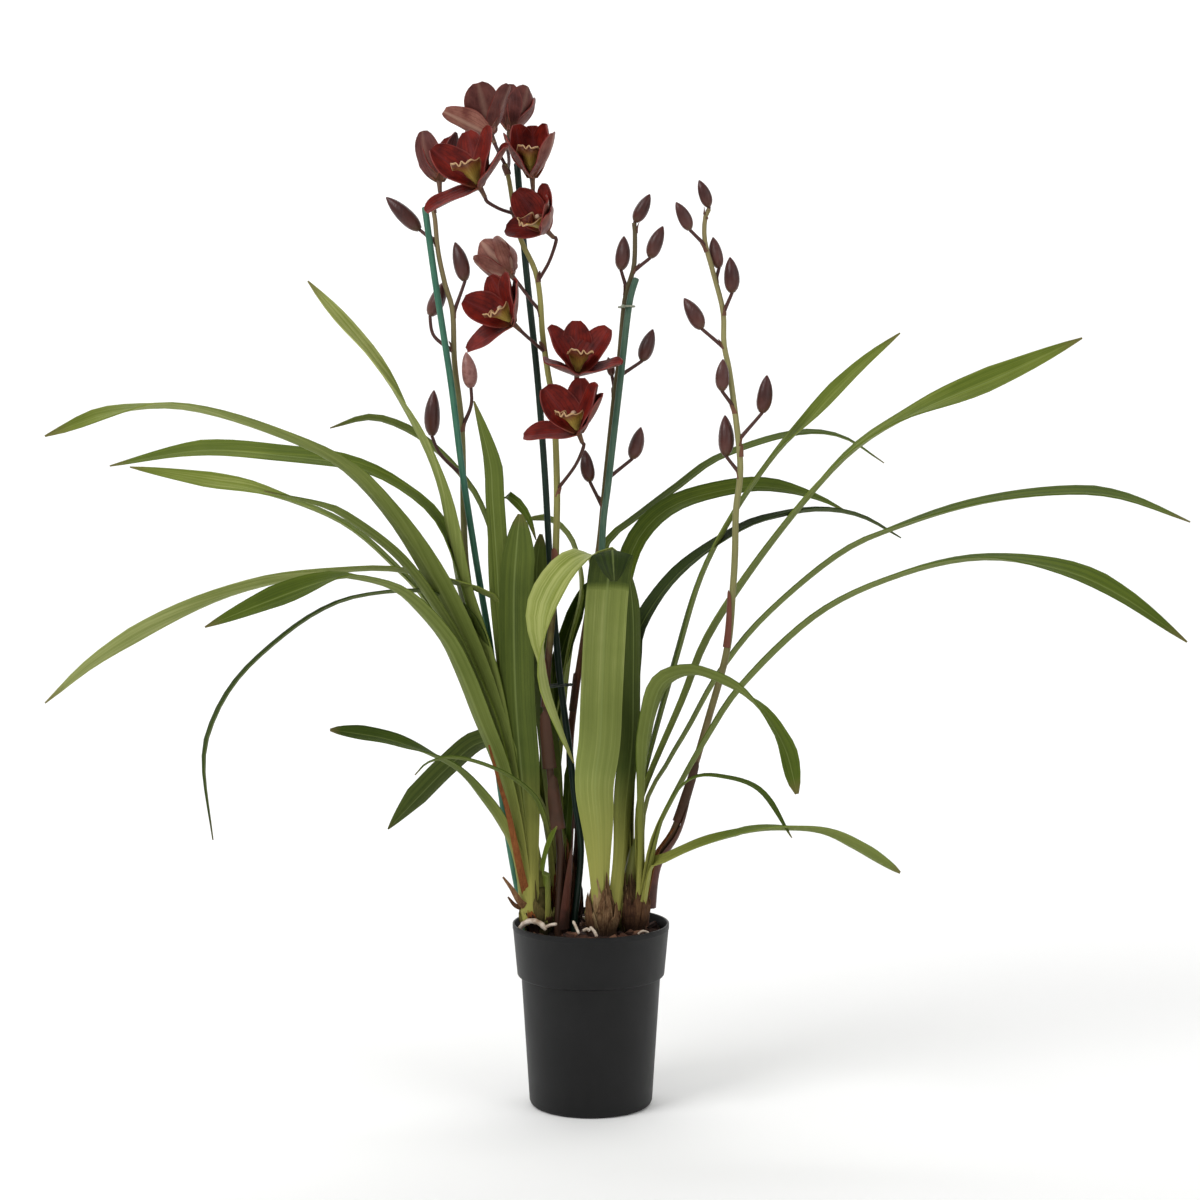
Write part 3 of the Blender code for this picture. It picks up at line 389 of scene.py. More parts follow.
studio = {"floorBack": 3.1, "floorWide": 10.0, "floorFront": -4.5, "floorTop": 6.5,
          "turn": 1.2, "turnSteps": 16, "world": 0.54, "paper": (0.96, 0.96, 0.955)}
# each light: where it stands, what it points at, its size in metres and its power in watts
lights = {
    "key": ((-1.5, -1.3, 2.0), (0, 0, 0.35), (1.2, 1.2), 32),
    "fill": ((1.8, -1.4, 1.2), (0, 0, 0.35), (1.4, 1.8), 11),
    "backdrop": ((0, 1.6, 2.9), (0, 2.9, 0.5), (4.0, 1.0), 48),
}


def setCamera():
    data = bpy.data.cameras.new("camera")
    data.lens = view["lens"]
    data.sensor_width = view["sensor"]
    camera = linked("camera", data)
    camera.location = view["eye"]
    camera.rotation_euler = (radians(90 - view["pitch"]), 0, 0)
    bpy.context.scene.camera = camera


def layFloor():
    pick(None)
    depth = studio["floorBack"] - studio["floorFront"]
    middle = (studio["floorBack"] + studio["floorFront"]) / 2
    bpy.ops.mesh.primitive_plane_add(size=1, location=(0, middle, 0))
    floor = bpy.context.object
    floor.name = "floor"
    floor.scale = (studio["floorWide"], depth, 1)
    bpy.ops.object.transform_apply(location=True, rotation=True, scale=True)
    bpy.ops.object.mode_set(mode="EDIT")
    bpy.ops.mesh.select_all(action="DESELECT")
    shape = bmesh.from_edit_mesh(floor.data)
    for edge in shape.edges:
        edge.select = all(v.co.y > studio["floorBack"] - 0.01 for v in edge.verts)
    shape.select_flush(False)
    bpy.ops.mesh.extrude_edges_move(TRANSFORM_OT_translate={"value": (0, 0, studio["floorTop"])})
    bpy.ops.object.mode_set(mode="OBJECT")
    turn = floor.modifiers.new("turn", "BEVEL")
    turn.width = studio["turn"]
    turn.segments = studio["turnSteps"]
    turn.limit_method = "ANGLE"
    applyAll(floor)
    smoothed(floor)
    paper, place = startMaterial("paper", 0.9, specular=0.1)
    tone = blendColours(paper, noiseAt(paper, place, 900.0), studio["paper"],
                        tuple(c * 0.985 for c in studio["paper"]))
    skinned(floor, finishMaterial(paper, tone))


def addLight(name, place, aim, size, power):
    data = bpy.data.lights.new(name, "AREA")
    data.shape = "RECTANGLE"
    data.size, data.size_y = size
    data.energy = power
    light = linked(name, data)
    light.location = place
    light.rotation_euler = (Vector(aim) - Vector(place)).to_track_quat("-Z", "Y").to_euler()


def lightStudio():
    world = bpy.data.worlds.new("studio")
    bpy.context.scene.world = world
    world.use_nodes = True
    world.node_tree.nodes["Background"].inputs["Color"].default_value = (1, 1, 1, 1)
    world.node_tree.nodes["Background"].inputs["Strength"].default_value = studio["world"]
    for name, settings in lights.items():
        addLight(name, *settings)
    bpy.context.scene.view_settings.view_transform = "Standard"


setCamera()
layFloor()
lightStudio()
print("studio ready")

# pot: a charcoal nursery pot with a stepped collar

pot = {"height": 140 * mm, "rim": 60 * mm, "collarLow": 100 * mm, "collar": 56.4 * mm,
       "body": 53.3 * mm, "foot": 47.2 * mm, "edge": 3.5 * mm, "wall": 1.6 * mm,
       "floor": 2.5 * mm, "ledge": 3 * mm, "sides": 96,
       "drainRing": 34 * mm, "drainRadius": 4 * mm, "drains": 6, "rounding": 0.5 * mm,
       "sharpAngle": 30}
potColours = {"plastic": [(0.3, (0.0032, 0.0033, 0.0036)), (0.75, (0.0062, 0.0064, 0.0069))],
              "dust": (0.075, 0.073, 0.069), "dusty": 0.07}


def potMaterial():
    made, place = startMaterial("potPlastic", 0.5, specular=0.22)
    cloudy = noiseAt(made, place, 28.0, 4.0)
    dust = noiseAt(made, stretched(made, place, (1, 1, 0.35)), 90.0, 5.0, 0.65)
    colour = ramp(made, cloudy, potColours["plastic"])
    colour = blendColours(made, times(made, dust, potColours["dusty"]), colour, potColours["dust"])
    fine = noiseAt(made, place, 1500.0, 2.0)
    wavy = noiseAt(made, place, 60.0, 2.0)
    height = calc(made, "ADD", times(made, fine, 0.35), wavy)
    rough = scaledSum(made, dust, 0.16, 0.42)
    return finishMaterial(made, colour, height, 0.12 * mm, rough)


def makePot():
    wall, edge, ledge = pot["wall"], pot["edge"], pot["ledge"]
    foot, rim, high = pot["foot"], pot["rim"], pot["height"]
    outline = [(foot - edge, 0.0), (foot - 0.3 * edge, 0.3 * edge), (foot, edge),
               (pot["body"], pot["collarLow"] - ledge / 3), (pot["collar"] - wall / 3, pot["collarLow"]),
               (pot["collar"], pot["collarLow"] + ledge / 3), (rim - wall / 4, high - 3 * wall),
               (rim, high - 2.6 * wall), (rim, high), (rim - wall, high),
               (pot["collar"] - wall, pot["collarLow"] + ledge), (pot["body"] - wall, pot["collarLow"]),
               (foot - wall, pot["floor"] + edge), (foot - wall - edge, pot["floor"])]
    shell = turnedShell("potShell", outline, pot["sides"])
    soften = shell.modifiers.new("soften", "BEVEL")
    soften.width = pot["rounding"]
    soften.segments = 3
    soften.limit_method = "ANGLE"
    soften.angle_limit = radians(pot["sharpAngle"])
    applyAll(shell)
    for i in range(pot["drains"]):
        turn = tau * i / pot["drains"]
        pick(None)
        bpy.ops.mesh.primitive_cylinder_add(
            vertices=24, radius=pot["drainRadius"], depth=4 * pot["floor"],
            location=(pot["drainRing"] * cos(turn), pot["drainRing"] * sin(turn), 0))
        drill = bpy.context.object
        cut = shell.modifiers.new("drain", "BOOLEAN")
        cut.operation = "DIFFERENCE"
        cut.object = drill
        applyAll(shell)
        bpy.data.objects.remove(drill, do_unlink=True)
    handOver(smoothed(skinned(shell, potMaterial()), 35), "pot", "pot")


makePot()


# bark mix: a dark bed, loose chips of bark and a few pale roots

mix = {"top": 131.5 * mm, "reach": 55.6 * mm, "chips": 330, "chipSize": (4.5 * mm, 11 * mm),
       "chipWidth": (0.55, 0.8), "chipHeight": (0.22, 0.4), "chipTilt": (0.45, 0.35),
       "chipLift": (-1.2, 1.6), "chipKinds": 5, "seed": 11, "bedSides": 64, "gap": 0.35 * mm,
       "rootSteps": 14}
# roots that show at the front, as places in the front view with a depth, and a radius in millimetres
paleRoots = [
    ([(519, 930, -12), (525, 923, -17), (533, 921, -22), (541, 924, -26), (546, 930, -28)], 2.1),
    ([(546, 927, -27), (551, 925, -30), (557, 924, -31)], 1.3),
    ([(573, 921, -28), (576, 927, -33), (579, 934, -37)], 1.1),
    ([(583, 931, -38), (587, 929, -39), (590, 931, -39)], 1.2),
    ([(590, 927, -36), (594, 931, -39), (597, 937, -41)], 1.2),
    ([(638, 934, -30), (643, 931, -31), (649, 933, -29)], 0.9),
    ([(560, 921, 8), (575, 917, 14), (590, 919, 18)], 1.2),
    ([(612, 919, 26), (628, 916, 30), (640, 920, 24)], 1.2),
    ([(540, 918, 30), (556, 915, 36), (574, 917, 40)], 1.3),
]
barkColours = [(0.15, (0.010, 0.006, 0.005)), (0.5, (0.045, 0.020, 0.014)),
               (0.8, (0.105, 0.046, 0.028)), (1.0, (0.24, 0.12, 0.07))]
rootColours = [(0.3, (0.30, 0.20, 0.13)), (0.55, (0.62, 0.52, 0.42)), (0.8, (0.80, 0.73, 0.64))]


def innerRadius(height):
    share = (height - pot["collarLow"]) / (pot["height"] - pot["collarLow"])
    return pot["collar"] + (pot["rim"] - pot["collar"]) * share - pot["wall"]


def barkMaterial():
    made, place = startMaterial("bark", 0.85, specular=0.25)
    tone = attributeOf(made, "tone")
    grain = noiseAt(made, place, 420.0, 4.0, 0.7)
    shade = scaledSum(made, grain, 0.45, times(made, tone, 0.75))
    return finishMaterial(made, ramp(made, shade, barkColours), grain, 0.6 * mm)


def rootMaterial():
    made, place = startMaterial("paleRoot", 0.6, specular=0.35)
    colour = ramp(made, noiseAt(made, place, 160.0, 4.0), rootColours)
    return finishMaterial(made, colour, noiseAt(made, place, 500.0), 0.3 * mm)


def oneChip(draw):  # a split, worn flake of bark
    pick(None)
    bpy.ops.mesh.primitive_cube_add(size=1)
    chip = bpy.context.object
    editAll()
    bpy.ops.mesh.subdivide(number_cuts=1, smoothness=0.35)
    bpy.ops.transform.vertex_random(offset=0.13, uniform=1.0, seed=draw.randrange(1, 999))
    bpy.ops.object.mode_set(mode="OBJECT")
    chip.scale = (1.0, draw.uniform(*mix["chipWidth"]), draw.uniform(*mix["chipHeight"]))
    bpy.ops.object.transform_apply(location=True, rotation=True, scale=True)
    return chip


def makeMix():
    draw = random.Random(mix["seed"])
    top = mix["top"]
    low = pot["floor"] + mix["gap"]
    collar = pot["collarLow"]
    outline = [(pot["foot"] - pot["wall"] - pot["edge"] - 1 * mm, low),
               (pot["foot"] - pot["wall"] - 0.6 * mm, low + pot["edge"]),
               (pot["body"] - pot["wall"] - 0.8 * mm, collar - 1 * mm),
               (innerRadius(collar + 4 * mm) - 0.8 * mm, collar + 4 * mm),
               (innerRadius(top) - 1.2 * mm, top - 1 * mm), (innerRadius(top) - 3 * mm, top - 0.4 * mm),
               (20 * mm, top - 0.4 * mm), (4 * mm, top - 0.4 * mm)]
    bed = turnedShell("barkBed", outline, mix["bedSides"])
    paintNumber(bed, "tone", 0.15)
    kinds = [oneChip(draw) for _ in range(mix["chipKinds"])]
    pieces = [bed]
    small, large = mix["chipSize"]
    nod, sway = mix["chipTilt"]
    for _ in range(mix["chips"]):
        length = small + (large - small) * draw.random() ** 1.6
        reach = (mix["reach"] - 0.55 * length) * sqrt(draw.random())
        turn = draw.uniform(0, tau)
        chip = copied(draw.choice(kinds), "chip")
        lie = Matrix.Rotation(draw.uniform(0, tau), 4, "Z")
        tip = Matrix.Rotation(draw.gauss(0, nod), 4, "X") @ Matrix.Rotation(draw.gauss(0, sway), 4, "Y")
        lift = draw.uniform(*mix["chipLift"]) * mm
        place = Vector((reach * cos(turn), reach * sin(turn), top + lift))
        chip.data.transform(Matrix.Translation(place) @ tip @ lie @ Matrix.Scale(length, 4))
        paintNumber(chip, "tone", draw.uniform(0.05, 1.0) ** 1.5)
        pieces.append(chip)
    for kind in kinds:
        bpy.data.objects.remove(kind, do_unlink=True)
    bark = barkMaterial()
    for piece in pieces:
        skinned(piece, bark)
    pale = rootMaterial()
    for i, (route, thick) in enumerate(paleRoots):
        places = flow([sighted(*point) for point in route], mix["rootSteps"])
        radii = [thick * mm * (1 + 0.12 * sin(2.3 * k + i)) for k in range(mix["rootSteps"] + 1)]
        radii[0] = radii[-1] = 0.5 * thick * mm
        pieces.append(rodAlong("root", places, radii, 10, pale))
    handOver(smoothed(joined("barkMix", pieces), 35), "potting_mix", "potting_mix")


makeMix()

# where each bulb, stake and spike stands in the mix, in millimetres, and each bulb's radius
bulbs = {
    "left": (-40, -6, 10.5),
    "middle": (-20, 8, 11.0),
    "front": (9, -14, 10.5),
    "right": (30, 0, 12.0),
}
feet = {
    "stake_left": (-50.5, 5),
    "stake_middle": (-13, -6),
    "stake_right": (10, 12),
    "spike_1": (-40, 18),
    "spike_2": (-25, -13),
    "spike_3": (-18, 27),
    "spike_4": (42, 12),
}

bulbForm = {"top": 168 * mm, "shoulder": 4.5 * mm, "foot": 6.8 * mm, "holeDepth": 20 * mm,
            "stakeHoleDepth": 12 * mm, "gap": 0.35 * mm, "sides": 30, "rings": 8, "ribs": 9,
            "swell": 0.035, "outline": (0.72, 0.92, 1.0, 0.96, 0.86, 0.72)}

# leaves of each bulb: route, width in millimetres, turn in degrees at even steps, and tone from
# 0, dark, to 1, pale
leaves = {
    "left": [
        ([(520, 800, -8), (495, 720, -10), (478, 672, -12), (458, 626, -14), (430, 572, -18),
          (390, 515, -22), (340, 466, -28), (260, 430, -36), (180, 409, -44), (110, 414, -50),
          (45, 436, -54)], 21, (25, 30, 36, 34, 16, 5, 0, -70), 0.50),
        ([(522, 810, -4), (500, 740, -4), (480, 660, -2), (465, 600, 0), (440, 527, 6),
          (400, 489, 10), (350, 466, 14), (280, 456, 18), (200, 451, 22), (110, 466, 26)],
         20, (10, 5, 5, 0, -8, -36, -38, -36), 0.45),
        ([(505, 770, -6), (480, 700, -6), (430, 610, -2), (396, 570, 4), (340, 523, 10),
          (260, 492, 16), (200, 480, 20), (130, 467, 24)],
         16, (12, 12, 10, 10, 5, 0, -45, -50), 0.60),
        ([(500, 750, -12), (470, 670, -16), (440, 615, -20), (400, 560, -24), (350, 521, -26),
          (320, 506, -26), (264, 491, -26)], 13, (20, 16, 18, 28, 25, 0), 0.50),
        ([(524, 760, -2), (510, 640, -2), (494, 601, -2), (460, 586, -4), (400, 572, -8),
          (346, 572, -12), (260, 585, -18), (180, 613, -24), (100, 658, -30), (45, 703, -34)],
         15, (0, 0, 0, 5, 10, 36, 58, 60), 0.72),
        ([(518, 840, -10), (500, 770, -14), (480, 720, -18), (460, 670, -24), (440, 634, -28),
          (400, 594, -34), (360, 580, -40), (330, 580, -42), (270, 601, -48), (205, 627, -52)],
         20, (20, 22, 22, 20, 14, 0, -42, -50), 0.50),
        ([(520, 800, -4), (495, 680, -6), (470, 617, -8), (450, 603, -10), (418, 592, -14),
          (360, 597, -20), (320, 612, -26), (280, 640, -32), (240, 678, -38), (215, 720, -42),
          (205, 765, -46), (213, 840, -50)], 12, (0, 0, 5, 5, 8, 10, 15), 0.12),
        ([(515, 800, -8), (495, 700, -8), (478, 640, -6), (462, 590, -4), (452, 540, -2),
          (440, 490, 0), (420, 440, 0), (382, 373, -4), (340, 319, -8), (308, 281, -12)],
         19, (30, 36, 38, 36, 30, 12, -25, -80), 0.60),
        ([(520, 750, -2), (507, 650, 8), (499, 570, 26), (492, 540, 34), (480, 507, 38),
          (467, 485, 38), (440, 455, 36), (408, 431, 32), (370, 418, 26), (330, 428, 20)],
         12, (0, 0, 25, 25, 30, 36, 40), 0.45),
        ([(525, 820, -3), (510, 720, -4), (500, 610, -6), (497, 560, -8), (493, 500, -12),
          (490, 460, -14), (474, 401, -18)], 17, (30, 38, 38, 30), 0.35),
        ([(525, 830, 0), (508, 700, -2), (497, 600, -3), (495, 530, -4), (501, 497, -4),
          (515, 501, -6), (528, 517, -8), (536, 540, -10)], 10, (0, 20, 0, 20), 0.45),
        ([(524, 800, -10), (516, 700, -14), (514, 600, -18), (517, 545, -22), (520, 514, -22)],
         27, (0, 10, 10, 0), 0.15),
        ([(517, 855, -12), (500, 822, -16), (480, 795, -20), (460, 773, -22), (440, 760, -24),
          (410, 747, -28), (380, 738, -32), (330, 730, -36)], 15, (25, 25, 20, 5, -35, -45), 0.30),
        ([(545, 862, -18), (557, 826, -24)], 10, (60, 60), 0.60),
    ],
    "middle": [
        ([(553, 800, 11), (543, 700, 12), (538, 620, 12), (537, 570, 12), (541, 534, 12)],
         17, (60, 80, 80, 80), 0.28),
        ([(548, 830, 18), (530, 790, 30), (507, 750, 36), (480, 742, 38), (450, 765, 38),
          (420, 795, 36), (388, 829, 34)], 20, (0, 35, 50, 45), 0.12),
        ([(550, 846, 3), (542, 815, -16), (530, 793, -30), (500, 772, -37), (460, 759, -38),
          (430, 762, -38), (415, 775, -38)], 7, (0, 0, 10, 20), 0.30),
        ([(566, 840, 12), (569, 790, 13), (570, 756, 14)], 8, (20, 40), 0.30),
        ([(552, 800, 21), (557, 720, 33), (568, 645, 37), (580, 590, 39), (572, 545, 40),
          (550, 520, 40), (525, 519, 40)], 15, (0, 10, 40, 60), 0.80),
        ([(549, 800, 24), (553, 690, 36), (562, 650, 40), (572, 620, 44), (583, 592, 46),
          (596, 577, 46)], 14, (0, 20, 60, 60), 0.30),
    ],
    "front": [
        ([(598, 830, -20), (595, 785, -24), (600, 740, -28), (602, 690, -31), (605, 620, -36),
          (608, 580, -44), (612, 551, -56), (613, 562, -67), (614, 581, -73)], 32, (0, 0, 0), 0.72),
        # this leaf's dark tone, 0.10, is painted shade
        ([(621, 850, -10), (626, 800, -12), (632, 740, -15), (633, 690, -17), (633, 620, -19),
          (629, 574, -24)], 20, (-10, -10, -10), 0.10),
        ([(598, 800, -12), (600, 720, -13), (602, 650, -15), (606, 595, -18), (606, 567, -25),
          (597, 556, -34), (580, 560, -43), (561, 578, -51), (546, 607, -56), (543, 640, -58),
          (546, 672, -58), (554, 705, -58), (574, 763, -58)], 30, (0, 0, 0, 0, 0, 12, 70, 70), 0.94),
    ],
    "right": [
        ([(626, 800, 8), (615, 700, 22), (607, 620, 32), (602, 570, 34), (610, 541, 36),
          (640, 517, 40), (680, 487, 46), (720, 459, 50), (790, 436, 58), (840, 437, 62),
          (884, 463, 64)], 13, (8, 5, 0, 0, 5, 12, 25), 0.50),
        ([(627, 800, 6), (619, 700, 16), (618, 640, 22), (627, 570, 26), (645, 530, 30),
          (680, 503, 34), (740, 488, 38), (780, 489, 40), (820, 500, 42), (850, 514, 42)],
         18, (0, 5, 15, 30, 38, 36, 30), 0.52),
        ([(631, 800, 4), (632, 720, 8), (636, 660, 12), (642, 625, 14), (680, 573, 18),
          (740, 531, 22), (780, 517, 22), (820, 511, 20), (860, 517, 16), (901, 538, 12)],
         18, (10, 28, 38, 36, 22, 10, 0, 0), 0.06),
        ([(638, 820, 0), (646, 776, 4), (658, 730, 8), (678, 660, 12), (703, 577, 16),
          (735, 515, 20), (775, 457, 18), (810, 420, 12), (860, 368, 2), (900, 333, -6)],
         19, (5, 5, 5, 5, 0, 0, 34, 44), 0.55),
        ([(641, 815, -2), (650, 780, 2), (685, 700, 10), (711, 637, 18), (760, 562, 20),
          (815, 492, 10), (860, 447, 0), (920, 411, -12), (1000, 377, -28), (1082, 338, -40)],
         21, (5, 5, 5, 5, 8, 20, 60, 76), 0.62),
        ([(646, 810, -2), (668, 765, 4), (690, 728, 12), (722, 672, 18), (767, 617, 14),
          (840, 556, 0), (900, 528, -8), (980, 504, -16), (1060, 494, -24), (1120, 498, -30),
          (1190, 522, -36)], 18, (8, 8, 6, 3, 0, 15, 20, 22), 0.50),
        ([(650, 850, -10), (668, 810, -14), (710, 736, -18), (746, 684, -20), (820, 615, -26),
          (900, 577, -32), (980, 560, -38), (1060, 570, -43), (1120, 596, -46),
          (1187, 642, -48)], 20, (12, 10, 8, 5, 3, 5, 30, 40), 0.50),
        ([(642, 830, -12), (645, 760, -24), (650, 720, -32), (662, 684, -42), (690, 673, -52),
          (720, 682, -58), (745, 696, -62), (765, 716, -64), (785, 750, -66), (797, 794, -66)],
         18, (25, 28, 20, 0, -25, -40, -5, 50), 0.55),
        ([(656, 840, -14), (672, 800, -22), (692, 779, -26), (720, 777, -30), (760, 791, -34),
          (792, 838, -34)], 6, (0, 10, 20), 0.40),
        ([(648, 867, -10), (665, 858, -16), (700, 844, -22), (740, 834, -26), (780, 830, -30),
          (830, 836, -34), (900, 873, -36)], 17, (35, 30, 20, 8, -10, -40, -45), 0.62),
    ],
}

# the green core that the leaves of each bulb rise from: two places in the front view
cores = {
    "left": ((534, 845, -6), (526, 800, -8)),
    "middle": ((563, 842, 9), (558, 800, 12)),
    "front": ((603, 842, -15), (604, 800, -18)),
    "right": ((634, 852, -1), (638, 825, 0)),
}

leafForm = {"columns": 6, "rows": 46, "thickness": 0.9 * mm, "fold": (0.34, 0.34), "splay": 2.6,
            "wrapLow": 141 * mm, "wrapTop": 232 * mm,
            "wrap": {"left": 4.6 * mm, "middle": 4.2 * mm, "front": 6.4 * mm, "right": 4.8 * mm},
            "wrapSpan": 1.25, "layer": 0.3 * mm, "fanOut": 0.45, "fanReach": 5 * mm,
            "footStep": 3 * mm, "coreLow": 11.6 * mm, "coreRise": 6 * mm, "coreSides": 16,
            "coreRadii": (5.6 * mm, 5.4 * mm, 3.6 * mm, 0.8 * mm)}
# the broad front leaf bends over towards the viewer and has a rounded end, painted near black above the
# given height as painted shade
bentTip = {"side": "front", "number": 0, "height": 400 * mm, "tone": 0.02,
           "fold": (0.24, 0.2, 0.1, -0.1, -0.35)}
bluntTips = (("front", 0), ("front", 1), ("left", 11), ("middle", 0), ("right", 7), ("right", 9),
             ("left", 12))  # leaves with a rounded end
tipTones = {("left", 0): 0.85, ("left", 1): 0.62, ("left", 2): 0.80, ("left", 4): 0.92,
            ("left", 7): 1.0, ("right", 3): 0.75, ("right", 4): 0.72}  # paler towards the tip


leafColours = {
    "upper": [(0.1, (0.009, 0.018, 0.002)), (0.42, (0.045, 0.074, 0.006)), (0.68, (0.105, 0.145, 0.014)),
              (0.86, (0.20, 0.24, 0.042)), (1.0, (0.37, 0.40, 0.13))],
    "under": [(0.1, (0.036, 0.056, 0.010)), (0.45, (0.105, 0.138, 0.024)), (0.8, (0.22, 0.26, 0.065)),
              (1.0, (0.38, 0.41, 0.15))],
    "core": [(0.0, (0.26, 0.23, 0.065)), (0.5, (0.20, 0.21, 0.045)), (1.0, (0.12, 0.15, 0.025))],
    "coreLines": (0.10, 0.12, 0.03), "rib": (0.30, 0.36, 0.12), "base": (0.34, 0.32, 0.075),
    "dryTip": (0.17, 0.12, 0.05),
}


def leafMaterial(name, underside=False):
    made, place = startMaterial(name, 0.55 if underside else 0.45, specular=0.12)
    uv, across, length = uvParts(made)
    tone = attributeOf(made, "tone")
    tipTone = attributeOf(made, "tipTone")
    outer = faded(made, length, 0.45, 0.85)
    tone = scaledSum(made, calc(made, "SUBTRACT", tipTone, tone), outer, tone)
    cloudy = noiseAt(made, place, 14.0, 3.0)
    lines = noiseAt(made, stretched(made, uv, (46, 2.2, 1)), 1.0, 3.0, 0.6)
    apart = addNode(made, "CombineXYZ", {"X": times(made, tone, 37.0)})
    banded = addNode(made, "VectorMath", {0: stretched(made, uv, (9, 0.9, 1)), 1: apart.outputs["Vector"]})
    bands = noiseAt(made, banded.outputs["Vector"], 1.0, 2.0)
    shade = scaledSum(made, cloudy, 0.35, times(made, tone, 0.78))
    shade = scaledSum(made, offHalf(made, bands), 0.45, shade)
    shade = scaledSum(made, offHalf(made, lines), 0.42, shade)
    colour = ramp(made, shade, leafColours["under" if underside else "upper"])
    # a pale line down the middle, yellow-green bases and dry tips
    middle = fromMiddle(made, across)
    rib = faded(made, middle, 0.0, 0.045, 0.34, 0.0)
    colour = blendColours(made, rib, colour, leafColours["rib"])
    base = faded(made, length, 0.04, 0.46, 0.85, 0.0)
    height = heightOf(made)
    low = faded(made, height, 0.165, 0.262, 0.85, 0.0)
    base = times(made, calc(made, "MINIMUM", base, low), scaledSum(made, bands, 0.7, 0.6))
    colour = blendColours(made, base, colour, leafColours["base"])
    tip = faded(made, length, 0.965, 1.0, 0.0, 0.7)
    tip = times(made, tip, calc(made, "MINIMUM", times(made, tone, 4.0), 1.0))
    colour = blendColours(made, tip, colour, leafColours["dryTip"])
    rough = scaledSum(made, lines, 0.2, 0.5 if underside else 0.38)
    return finishMaterial(made, colour, lines, 0.35 * mm, rough)


def leafBreadth(t):
    return max(0.05, min(1.0, 0.42 + 1.5 * t) * min(1.0, (1.0 - t) / 0.13) ** 0.75)


def bluntBreadth(t):
    return leafBreadth(min(t, 0.86)) * max(0.02, min(1.0, (1.0 - t) / 0.10)) ** 0.5


def splayed(across, down, depth):  # leaves reach further back or forward as they spread
    reach = abs(across - view["middle"]) / view["middle"]
    return sighted(across, down, depth * (1.0 + leafForm["splay"] * reach**1.5))


def layBlade(blade, places, width, turns, fold, breadth, hug=0.0):
    # lays a unit grid along the places; a leaf's foot wraps the bulb at the radius hug
    lean = places[-1] - places[0]
    across = Vector((lean.y, -lean.x, 0.0)).normalized()
    rows = len(places) - 1
    low, top = leafForm["wrapLow"], leafForm["wrapTop"]
    stations = []
    for i, place in enumerate(places):
        heading = (places[min(i + 1, rows)] - places[max(i - 1, 0)]).normalized()
        side = (across - heading * across.dot(heading)).normalized()
        side = Matrix.Rotation(radians(eased(turns, i / rows)), 3, heading) @ side
        wrapped = clamped((top - place.z) / (top - low)) if hug and i < rows / 2 else 0.0
        stations.append((place, side, side.cross(heading).normalized(), wrapped))
    for vertex, t, s in gridPlaces(blade):
        place, side, upper, wrapped = stations[round(t * rows)]
        half = width * breadth(t) / 2
        flat = side * (half * s) + upper * (half * eased(fold, t) * abs(s) ** 1.4)
        around = s * leafForm["wrapSpan"]
        clasping = (side * sin(around) - upper * cos(around)) * hug
        vertex.co = place + flat.lerp(clasping, softened(wrapped))


def growBlade(name, places, width, turns, thickness, materials, fold=(0.0, 0.0), breadth=leafBreadth,
              columns=4, hug=0.0):
    blade = unitGrid(columns, len(places) - 1)
    blade.name = name
    layBlade(blade, places, width, turns, fold, breadth, hug)
    return walled(skinned(blade, *materials), thickness, 50, 0.0, len(materials) - 1)


def coreMaterial():
    made, place = startMaterial("leafBase", 0.45, specular=0.25)
    lines = noiseAt(made, stretched(made, place, (1, 1, 0.04)), 620.0, 3.0)
    height = heightOf(made)
    rise = faded(made, height, 0.165, 0.215)
    colour = ramp(made, rise, leafColours["core"])
    colour = blendColours(made, times(made, lines, 0.5), colour, leafColours["coreLines"])
    return finishMaterial(made, colour, lines, 0.4 * mm)


def bulbAxis(side, height):
    x, y, _ = bulbs[side]
    return Vector((x * mm, y * mm, height))


def makeLeaves():
    upper, under, core = leafMaterial("leafUpper"), leafMaterial("leafUnder", True), coreMaterial()
    for side, blades in leaves.items():
        low, high = (sighted(*point) for point in cores[side])
        spine = [bulbAxis(side, bulbForm["top"] - leafForm["coreLow"]),
                 bulbAxis(side, bulbForm["top"] + leafForm["coreRise"]), low, low.lerp(high, 0.6)]
        pieces = [rodAlong("core", spine, leafForm["coreRadii"], leafForm["coreSides"], core)]
        for i, (route, width, turns, tone) in enumerate(blades):
            places = [splayed(*point) for point in route]
            start = bulbAxis(side, leafForm["wrapLow"] + (i % 4) * leafForm["footStep"])
            toward = (places[0] - start) * Vector((1, 1, 0))
            start += toward * min(leafForm["fanOut"], leafForm["fanReach"] / toward.length)
            places = flow([start, *places], leafForm["rows"])
            hug = leafForm["wrap"][side] + (i * 5 % len(blades)) * leafForm["layer"]
            isBent = (side, i) == (bentTip["side"], bentTip["number"])
            breadth = bluntBreadth if (side, i) in bluntTips else leafBreadth
            fold = bentTip["fold"] if isBent else leafForm["fold"]
            blade = growBlade("leaf", places, width * mm, turns, leafForm["thickness"], (upper, under),
                              fold, breadth, leafForm["columns"], hug)
            paintNumber(blade, "tone", tone)
            paintNumber(blade, "tipTone", tipTones.get((side, i), tone))
            # painted shade: above bentTip's height this leaf's tone and tip tone are set near black
            if isBent:
                for layer in ("tone", "tipTone"):
                    for vertex, value in zip(blade.data.vertices, blade.data.attributes[layer].data):
                        if vertex.co.z > bentTip["height"]:
                            value.value = bentTip["tone"]
            pieces.append(blade)
        handOver(joined(plainName("leafFan_" + side), pieces), "leaf", "leaves_" + side)


makeLeaves()


# bulbs in their dry sheaths: which way round each sheath stands, in degrees from the right, and
# how far it rises above the bulb's top in millimetres
sheaths = {
    "left": ((250, 16), (80, 12)),
    "middle": ((275, 36), (110, 14), (320, 38), (355, 30), (225, 30)),
    "front": ((230, 14), (290, 18)),
    "right": ((265, 14), (95, 14)),
}
